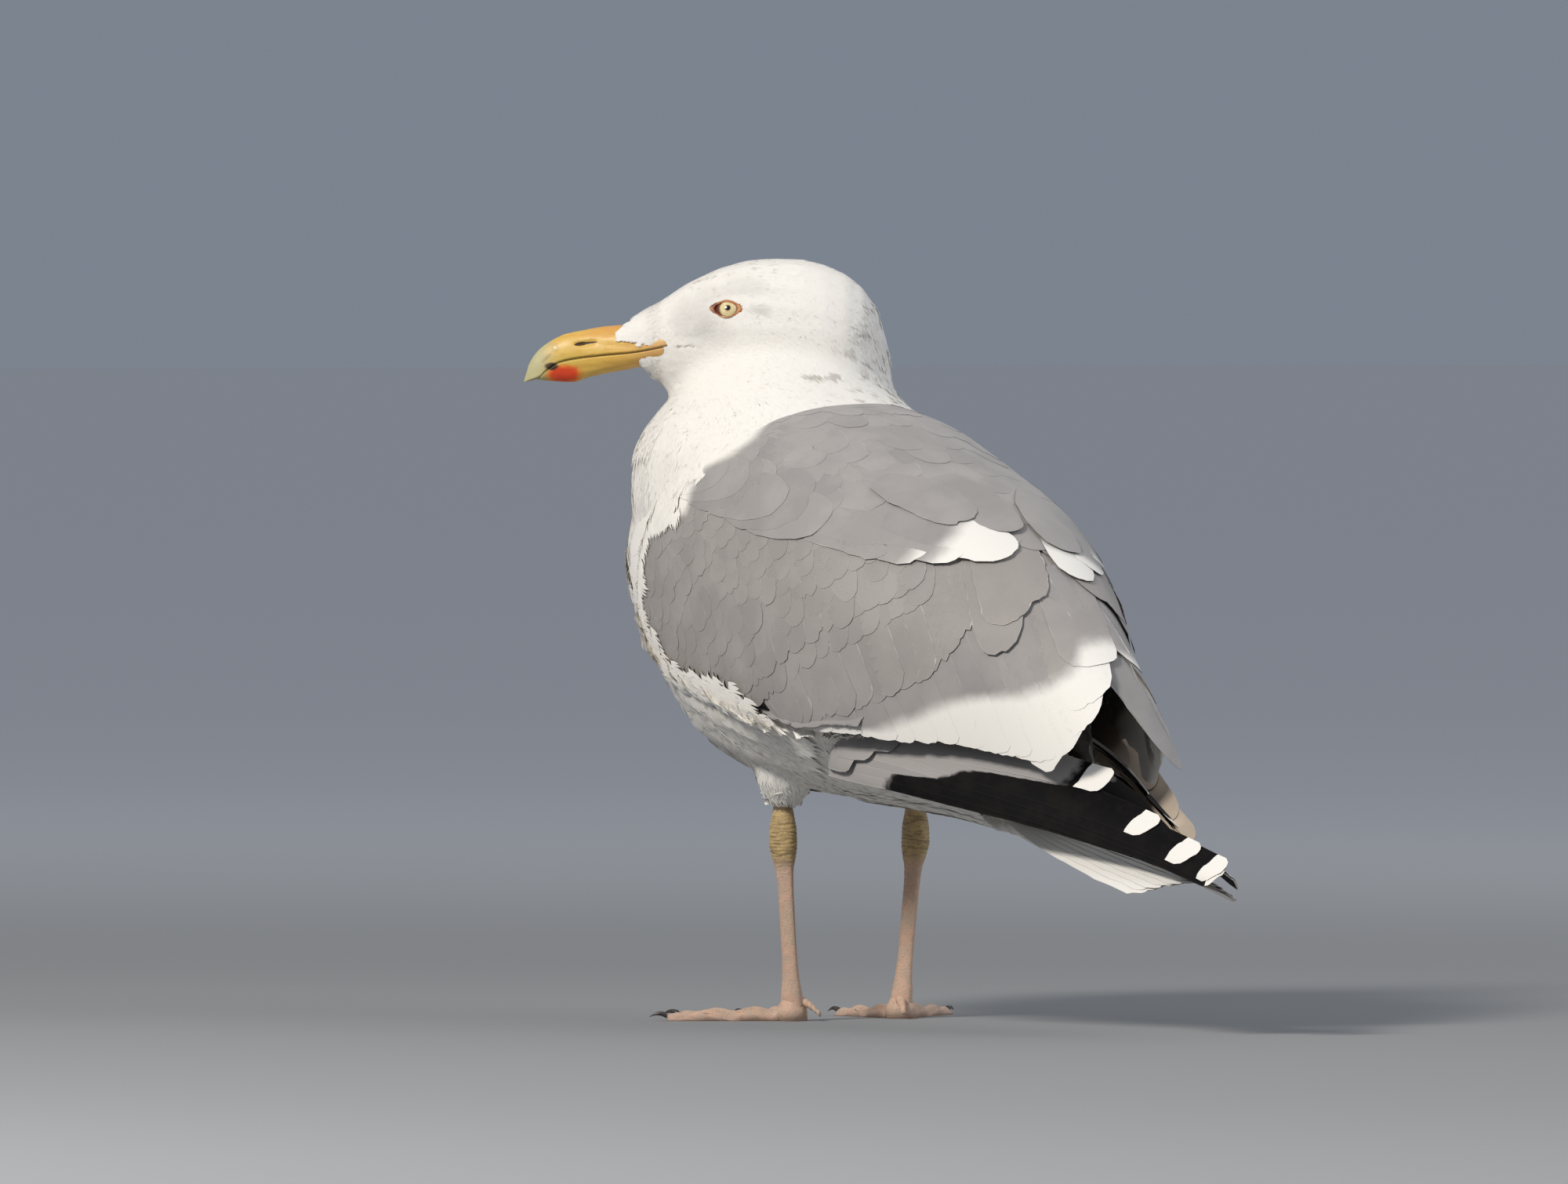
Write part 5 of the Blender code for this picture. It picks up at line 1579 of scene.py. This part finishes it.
# the right wing's innermost feather, which lies across the ridge and ends in a point beyond it
crossed = inside | {
    "path": [(0.0, 0.0, 0.1546, 0.1941), (0.36, 0.0, 0.1855, 0.1677), (0.57, 0.0, 0.2012, 0.1522),
             (0.8, 0.004, 0.2126, 0.1364), (1.0, 0.009, 0.2189, 0.1235), (1.15, 0.013, 0.2228, 0.1144),
             (1.24, 0.016, 0.2243, 0.1092)],
    "tilt": [(0.0, 88), (0.57, 84), (1.24, 62)],
    "rightShift": (0.0, 0.0, 0.0),
    "length": 0.087,
    "roundness": 4.6,
    "feathers": [(1.23, 0.0, 0.0, 0.0, 0.0175, 0.0), (1.0, 0.0, -0.005, -0.004, 0.015, 0.0)],
}


def primaryFrame(spec, t):
    place = np.stack([through(spec["path"], t, axis) for axis in (1, 2, 3)], -1)
    tilt = np.radians(through(spec["tilt"], t))
    zero = np.zeros_like(tilt)
    up = np.stack([-np.sin(tilt), zero, np.cos(tilt)], -1)
    out = np.stack([np.cos(tilt), zero, np.sin(tilt)], -1)
    return place, up, out


def primaryBlades(name, side, spec, random, material=greyVane, raised=0.0, warm=0.0, rim=0.5, sunk=0.0):
    plan = spec["feathers"]
    tip, root, tipUp, rootUp, widths, white = np.array(plan, float).T[..., None, None]
    lengths = (tip - root) * spec["length"]
    down, across, s, c = featherGrid(spec, lengths, widths, random)
    share = down / lengths
    t = root + (tip - root) * share
    place, up, out = primaryFrame(spec, t)
    height = rootUp + (tipUp - rootUp) * share**1.3 + across
    half = through(spec["depth"], t) / 2
    swell = np.sqrt(1 - np.clip(height / np.maximum(half, 1e-4), -0.96, 0.96) ** 2)
    layers = raised + 0.00055 * (len(plan) - 1 - np.arange(len(plan)))[:, None, None]
    lift = through(spec["thick"], t) / 2 * swell + layers - 0.05 * across - 0.0004
    lift = lift - sunk * (1 - ease(share, 0.02, 0.34))
    lift = lift - 0.0007 * np.abs(c) ** 2.5 + 0.00025 * hump(c, -0.25, 0.08) * (1 - s)
    top = place + up * height[..., None] + out * lift[..., None]
    thick = 0.0001 + 0.0003 * (1 - np.abs(c) ** 2) * (1 - 0.5 * s)
    under = top - out * thick[..., None]
    if side < 0:
        top, under = (x * [-1, 1, 1] + spec["rightShift"] for x in (top, under))
    values = bladeValues(down, across, s, c, lengths, widths, random)
    values["tip"] = (down - (lengths - white)) * 1000 - 60 * (white == 0)
    values["dark"] = (t - through(spec["blackStart"], height)) * 10
    values.update(white=-30.0, rim=rim, warm=warm)
    return blades(name, top + origin, under + origin, material, values, np.full(len(plan), side > 0))


def flightPaint():
    # grey at the base, black beyond, white at the very end
    paint, wire = newMaterial("flightVane")
    where = wire.place()
    barb = (wire.value("barb") * (2 * math.pi)).sine()
    edge = wire.value("edge")
    faded = wire.noise(where, 130.0, 3.0, 0.6)
    dark = wire.layered(plumage["black"],
                        (faded.between(0.4, 0.7) * 0.35, plumage["blackBrown"]),
                        (edge.between(0.7, 0.1) * 0.06, (0.1, 0.08, 0.07)),
                        (barb.between(-0.2, 1.0) * 0.25, (0.003, 0.003, 0.003)),
                        (shaftLine(wire, 0.3, 0.8, 0.98) * 0.3, (0.035, 0.028, 0.024)))
    start = wire.value("dark") + (wire.noise(where, 260.0, 3.0) - 0.5) * 0.35
    ragged = wire.value("tip") + (wire.noise(where, 500.0, 2.0) - 0.5) * 0.8
    colour = wire.layered(plumage["grey"],
                          (wire.value("tone"), plumage["greyPale"]),
                          (edge.between(0.6, 0.1) * 0.15, plumage["white"]),
                          (start.between(-0.1, 0.14), dark),
                          (ragged.between(-0.05, 0.28), plumage["white"]))
    surface(wire, colour, 0.6, normal=barbRelief(wire, where, barb), shine=0.05)
    return paint


flightVane = flightPaint()
# the inner faces are painted a pale warm brown, far paler than the grey: painted light that makes up for the
# shade they lie in
innerVane = vanePaint("innerVane", (0.46, 0.39, 0.32), (0.6, 0.52, 0.44))


def makePrimaries():
    for side, word in sides:
        random = np.random.default_rng(80 + side)
        piece = primaryBlades("primary_feathers_" + word, side, primary, random, flightVane)
        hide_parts("primaries_" + word)
        primaryBlades("primary_coverts_" + word, side, coverts, random, raised=0.003, sunk=0.0055)
    primaryBlades("inner_feathers_right", -1, inside, random, innerVane, warm=1.0)
    primaryBlades("crossed_feathers_right", -1, crossed, random, raised=0.001, rim=1.8)


makePrimaries()

# tail: twelve white feathers in a shallow fan
tail = {
    "root": (0.0, 0.122, 0.0955),
    "length": 0.146,
    "pitch": math.radians(12.2),
    "roll": math.radians(6),
    "rows": 20, "columns": 11,
    "roundness": 0.75, "fray": 0.0004, "notches": 1.6, "taper": 0.5, "lean": 0.0,
    "count": 12,
    "width": 0.0205,
    "rootSpread": 0.0085,
    "tipSpread": 0.0205,
    "droop": 0.0068,
}


def tailPaint():
    paint, wire = newMaterial("whiteVane")
    where = wire.place()
    barb = (wire.value("barb") * (2 * math.pi)).sine()
    colour = wire.layered(plumage["white"],
                          (barb.between(-0.2, 1.0) * 0.16, plumage["shade"]),
                          (wire.value("edge").between(0.9, 0.1) * 0.1, plumage["shade"]),
                          (shaftLine(wire, 0.32, 0.8, 0.98) * 0.35, (0.45, 0.43, 0.4)))
    surface(wire, colour, 0.62, normal=barbRelief(wire, where, barb), shine=0.3, sheen=0.1)
    return paint


whiteVane = tailPaint()


def makeTail():
    random = np.random.default_rng(91)
    count = tail["count"]
    lean = np.linspace(-1, 1, count)[:, None, None]
    lengths = tail["length"] * (1 - 0.05 * lean**2) * random.uniform(0.985, 1.01, (count, 1, 1))
    widths = np.full((count, 1, 1), tail["width"])
    down, across, s, c = featherGrid(tail, lengths, widths, random)
    share = down / tail["length"]
    aside = lean * (tail["rootSpread"] + (tail["tipSpread"] - tail["rootSpread"]) * share) + across
    layer = -np.abs(lean) * 0.0042 * (0.35 + 0.65 * share) + 0.0008
    fall = -tail["droop"] * (aside / 0.03) ** 2 * ease(share, 0.0, 0.5)
    roll = math.tan(tail["roll"]) * share * aside
    tilt = -np.sign(lean) * across * 0.035
    lift = layer + fall + roll + tilt - 0.0006 * np.abs(c) ** 2.5 + 0.0002 * hump(c, 0.0, 0.08) * (1 - s)
    along = np.array([0.0, math.cos(tail["pitch"]), -math.sin(tail["pitch"])])
    up = np.array([0.0, math.sin(tail["pitch"]), math.cos(tail["pitch"])])
    root = np.array(tail["root"]) + origin
    top = root + down[..., None] * along + aside[..., None] * [1.0, 0.0, 0.0] + lift[..., None] * up
    thick = 0.00012 + 0.00028 * (1 - np.abs(c) ** 2) * (1 - 0.5 * s)
    under = top - up * thick[..., None]
    values = bladeValues(down, across, s, c, lengths, widths, random)
    piece = blades("tail_feathers", top, under, whiteVane, values, np.zeros(count, bool))
    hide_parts("tail")


makeTail()

# bill: both horn parts as dense rings, hooked, ridged and coloured
bill = {
    "culmen": [(0.036, 0.004), (0.056, 0.002), (0.068, 0.0012), (0.0807, -0.0009), (0.0865, -0.0022),
               (0.0917, -0.0046), (0.097, -0.0082), (0.1001, -0.0116), (0.1022, -0.0153), (0.1035, -0.0195),
               (0.1043, -0.0222)],
    "gape": [(0.036, -0.006), (0.0425, -0.0074), (0.0577, -0.0103), (0.0682, -0.0113), (0.0807, -0.0127),
             (0.0891, -0.0145), (0.095, -0.0184), (0.098, -0.0212), (0.1043, -0.0229)],
    "gonys": [(0.036, -0.015), (0.0525, -0.0161), (0.0603, -0.0176), (0.0682, -0.0189), (0.076, -0.0207),
              (0.0833, -0.0228), (0.089, -0.0227), (0.0955, -0.0221), (0.0988, -0.0217)],
    "width": [(0.036, 0.0162), (0.044, 0.0155), (0.052, 0.0131), (0.058, 0.0111), (0.064, 0.0094),
              (0.072, 0.0077), (0.082, 0.0062), (0.091, 0.0048), (0.098, 0.0034), (0.102, 0.0022),
              (0.1043, 0.0008)],
    "root": 0.036,
    "tip": 0.1043,
    "lowerTip": 0.0988,
    "squareness": 2.2,
    "rows": 170,
    "columns": 72,
    "nostril": (0.0776, -0.0062),
    "nostrilSize": (0.0054, 0.00085),  # half length and half height
    "nostrilTilt": 0.13,
    "nostrilDepth": 0.0013,
    "yellow": (0.68, 0.43, 0.085),
    "deepYellow": (0.6, 0.33, 0.07),
    "ivory": (0.49, 0.445, 0.235),
    "red": (0.68, 0.06, 0.016),
    "dark": (0.018, 0.013, 0.006),
}


def billPart(upper):
    rows, columns = bill["rows"], bill["columns"]
    last = bill["tip"] if upper else bill["lowerTip"]
    a = bill["root"] + (last - bill["root"]) * (1 - (1 - np.linspace(0, 1, rows)[:, None]) ** 1.25)
    half = through(bill["width"], a)
    if not upper:
        half = half * 0.975 * np.clip((last - a) / 0.0016, 0, 1) ** 0.4
    line = through(bill["gape"], a)
    side, rise = (squared(wave(circle(columns)), bill["squareness"]) for wave in (np.cos, np.sin))
    outer = rise > 0
    seat = line + (0.00004 if upper else -0.00004)
    tall = through(bill["culmen" if upper else "gonys"], a) - seat
    up = seat + tall * np.where(outer, rise, 0.1 * np.abs(rise) * np.clip((last - a) / 0.01, 0, 1))
    left = half * side
    ahead = np.repeat(a, columns, 1)
    toward = np.sign(left)
    if upper:
        # cutting edge hangs a little over the lower part; a shallow groove runs from the nostril back
        lip = hump(up, line, 0.0012) * outer
        left = left + toward * 0.0001 * lip * ease(ahead, 0.04, 0.055) * ease(-ahead, -0.103, -0.099)
        past, over = ahead - bill["nostril"][0], up - bill["nostril"][1]
        groove = hump(over, 0.07 * past * (ahead < 0.0768), 0.0016)
        left = left - toward * 0.0003 * groove * ease(ahead, 0.05, 0.06) * ease(-ahead, -0.086, -0.079)
        long, high = bill["nostrilSize"]
        reach = np.sqrt((past / long) ** 2 + ((over + bill["nostrilTilt"] * past) / high) ** 2)
        left = left - toward * bill["nostrilDepth"] * ease(-reach, -1.15, -0.55) * outer
        left = left + toward * 0.00035 * hump(ahead, 0.0908, 0.0007) * hump(up, -0.0081, 0.0007)  # blister
    else:
        groove = hump(up - line, -0.0042, 0.0011) * ease(ahead, 0.05, 0.058) * ease(-ahead, -0.09, -0.08)
        left = left - toward * 0.00022 * groove
    spots = headPoint(ahead, left, up)
    grain = wobble(spots, 0.0045, 3.0) * 0.00007 + wobble(spots, 0.0016, 8.0) * 0.00004
    spots = spots + unit(spots - headPoint(a, 0.0, seat)) * grain[..., None]
    places = np.stack([ahead, np.abs(left), up], -1).reshape(-1, 3)
    ends = [[a[k, 0], 0, line[k, 0]] for k in (0, -1)]
    values = {"billSpot": np.concatenate([places, ends]),
              "aboveLine": np.concatenate([(up - line).ravel() * 1000, [0, 0]])}
    return withEnds(spots), tubeFaces(rows, columns), values


def billPaint():
    paint, wire = newMaterial("hornPaint")
    spot = wire.spot("billSpot")
    where = wire.place()
    ahead, above = spot.dot((1, 0, 0)), spot.dot((0, 0, 1))
    lining = wire.value("aboveLine")
    streak = wire.noise(spot.scaled((0.35, 1.0, 1.6)), 420.0, 4.0, 0.65)
    cloud = wire.noise(where, 120.0, 3.0, 0.55)
    flake = wire.noise(spot.scaled((0.5, 1.0, 2.0)), 900.0, 3.0, 0.7)
    ragged = (wire.noise(where, 420.0, 3.0, 0.6) - 0.5) * 0.9
    fromLine = lining.abs()
    orange = ahead.between(0.072, 0.05) * (0.55 + cloud * 0.5)
    ridge = lining.between(6.6, 9.2) * ahead.between(0.088, 0.066)
    pale = (ahead + (streak - 0.5) * 0.007).between(0.088, 0.0985)
    greenish = ahead.between(0.074, 0.09) * ahead.between(0.101, 0.094) * fromLine.between(5.0, 0.5)
    red = ((ahead - 0.087) * 132.0) ** 2.0 + ((above + 0.0196) * 235.0) ** 2.0 + ragged
    mark = ((ahead - 0.0925) * 330.0) ** 2.0 + ((above + 0.0161) * 600.0) ** 2.0 + ragged
    dusk = ((ahead - 0.0945) * 420.0) ** 2.0 \
        + ((above + 0.0125 + (ahead - 0.0945) * 0.9) * 900.0) ** 2.0 + ragged
    blister = ((ahead - 0.0908) * 1050.0) ** 2.0 + ((above + 0.0081) * 1050.0) ** 2.0
    # painted shade: a dark brown line along the join of the two horn parts, fading out near the tip
    gapeLineShade = fromLine.between(0.24, 0.04) * ahead.between(0.093, 0.084)
    gapeSkin = ahead.between(0.06, 0.046) * fromLine.between(5.0, 1.0)
    # the nostril's slit and hole are painted near-black: painted shade for the depth of the opening
    slope = above - bill["nostril"][1] + bill["nostrilTilt"] * (ahead - bill["nostril"][0])
    slit = ((ahead - bill["nostril"][0]) / 0.0052) ** 2.0 + (slope / 0.0005) ** 2.0
    hole = ((ahead - 0.0798) / 0.0029) ** 2.0 + (slope / 0.00085) ** 2.0
    colour = wire.layered(bill["yellow"],
                          (streak.between(0.35, 0.68) * 0.6, bill["deepYellow"]),
                          (cloud.between(0.45, 0.7) * 0.35, (0.76, 0.55, 0.16)),
                          (orange * 0.5, (0.68, 0.33, 0.095)),
                          (ridge * 0.6, (0.66, 0.3, 0.08)),
                          (flake.between(0.58, 0.72) * 0.22, (0.82, 0.66, 0.36)),
                          (pale, bill["ivory"]),
                          (greenish * 0.45, (0.4, 0.34, 0.07)),
                          (red.between(1.45, 0.65), (0.72, 0.22, 0.03)),
                          (red.between(0.95, 0.25), bill["red"]),
                          (mark.between(1.5, 0.4) * 0.95, bill["dark"]),
                          (dusk.between(1.3, 0.2) * 0.4, (0.2, 0.16, 0.05)),
                          (blister.between(1.2, 0.4) * 0.7, (0.8, 0.72, 0.5)),
                          (gapeLineShade * 0.55, (0.24, 0.13, 0.03)),
                          (gapeSkin * 0.55, (0.58, 0.36, 0.17)),
                          (slit.least(hole).between(1.2, 0.7) * 0.95, (0.03, 0.012, 0.006)))
    surface(wire, colour, flake.between(0.3, 0.7, 0.38, 0.54), inner=0.1, innerScale=0.003, coat=0.1,
            coatRough=0.25, shine=0.35, normal=wire.bump(streak + flake * 0.5, 0.35, 0.00022))
    return paint


def makeBill():
    paint = billPaint()
    for word, upper in (("upper", True), ("lower", False)):
        points, faces, values = billPart(upper)
        piece = turnedOut(newPiece("bill_" + word + "_horn", points, faces, paint, values))
        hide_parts("bill_" + word)
        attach(piece, "root")
    print("bill is done")


makeBill()

# eyes: a ball with a raised clear front; iris and pupil follow the gaze
eye = {
    "gaze": (0.115, 0.94, 0.27),
    "iris": 0.00395,
    "pupil": 0.00108,
    "rows": 72,
    "columns": 96,
    "cornea": 0.00035,
}


def eyePaint():
    paint, wire = newMaterial("eyePaint")
    off = wire.value("off")
    rays = wire.noise(wire.spot("rays"), 5.0, 4.0, 0.7)
    fine = wire.noise(wire.spot("rays"), 16.0, 2.0, 0.6)
    colour = wire.layered((0.72, 0.56, 0.26),
                          (rays.between(0.35, 0.68), (0.86, 0.78, 0.5)),
                          (fine.between(0.5, 0.66) * 0.45, (0.34, 0.2, 0.07)),
                          (off.between(0.0017, 0.0012) * 0.75, (0.36, 0.22, 0.08)),
                          (off.between(0.0031, 0.0038) * 0.7, (0.3, 0.17, 0.06)),
                          (off.between(eye["pupil"] + 0.00008, eye["pupil"] - 0.00008), (0.004,) * 3),
                          # outside the iris the ball is painted dark red-brown: the lid corner's own red,
                          # and painted shade for the ball that lies deep under the lids
                          (off.between(eye["iris"] - 0.0001, eye["iris"] + 0.0002), (0.13, 0.038, 0.016)))
    surface(wire, colour, 0.22, coat=0.5, coatRough=0.015, shine=0.3)
    return paint


def makeEyes():
    paint = eyePaint()
    # rings by the angle from the gaze, close together over the clear front
    ringAngles = np.concatenate([np.linspace(0.0, 0.75, 44), np.linspace(0.8, 3.1, eye["rows"] - 44)])[1:]
    angle, turn = np.meshgrid(ringAngles, circle(eye["columns"])[0], indexing="ij")
    for side, word in sides:
        middle = boxMiddle("eye_" + word)
        gaze = unit(eye["gaze"][0] * forward + side * eye["gaze"][1] * leftward + eye["gaze"][2] * upward)
        across = unit(np.cross(gaze, upward))
        above = np.cross(across, gaze)
        off = head["eyeRadius"] * np.sin(angle)
        radius = head["eyeRadius"] - 0.0001 + eye["cornea"] * np.clip(1 - (angle / 0.6) ** 2, 0, 1) ** 1.5
        radius = radius - 0.00018 * hump(angle, 0.6, 0.05)
        aside = np.cos(turn)[..., None] * across + np.sin(turn)[..., None] * above
        way = np.cos(angle)[..., None] * gaze + np.sin(angle)[..., None] * aside
        points = (middle + radius[..., None] * way).reshape(-1, 3)
        ends = [middle + gaze * radius[0, 0], middle - gaze * head["eyeRadius"]]
        rays = np.stack([np.cos(turn) * 1.4, np.sin(turn) * 1.4, off * 140], -1)
        off = np.where(angle > math.pi / 2, 0.02, off)
        values = {"off": np.concatenate([off.ravel(), [0.0, 0.02]]),
                  "rays": np.concatenate([rays.reshape(-1, 3), [[0, 0, 0], [0, 0, 1]]])}
        piece = turnedOut(newPiece("eyeball_" + word, np.concatenate([points, ends]),
                                   tubeFaces(len(angle), eye["columns"]), paint, values))
        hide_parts("eye_" + word)
        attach(piece, "root")
    print("eyes are done")


makeEyes()

# claws: small bent cones of dark horn
claw = {
    "length": 0.0075,
    "girth": 0.0014,
    "rows": 26,
    "columns": 22,
}


def makeClaws():
    paint, wire = newMaterial("clawHorn")
    where = wire.place()
    grain = wire.noise(where, 900.0, 3.0)
    colour = wire.mix(grain.between(0.35, 0.7), (0.022, 0.017, 0.015), (0.07, 0.052, 0.044))
    surface(wire, colour, 0.36, normal=wire.bump(grain, 0.3, 0.0001), coat=0.2, coatRough=0.2)
    t, turn = np.linspace(0, 1, claw["rows"])[:, None], circle(claw["columns"])
    bend = 0.0022 + 0.0012 * np.sin(0.8 * math.pi * t) - 0.0012 * t**2
    girth = claw["girth"] * (1 - 0.9 * t**1.3)
    flat = 1 - 0.18 * ease(-np.sin(turn), 0.2, 1.0)
    joint = np.array([*legs["footJoint"][:2], 0.0])
    for side, word in sides:
        for k, toe in enumerate(("inner", "middle", "outer")):
            ahead, across = toeWay(legs["toeOut"] + (k - 1) * legs["toeSpread"])
            middle = joint + ahead * (legs["toeLengths"][k] + 0.0003 + claw["length"] * t[..., None])
            rings = middle + upward * bend[..., None] + (girth * 0.86 * np.cos(turn))[..., None] * across
            rings = rings + (girth * np.sin(turn) * flat)[..., None] * upward
            piece = turnedOut(newPiece("claw_horn_" + word + "_" + toe, withEnds(sided(rings, side)),
                                       tubeFaces(claw["rows"], claw["columns"]), paint))
            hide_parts("claw_" + word + "_" + toe)
            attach(piece, "root")
    print("claws are done")


makeClaws()
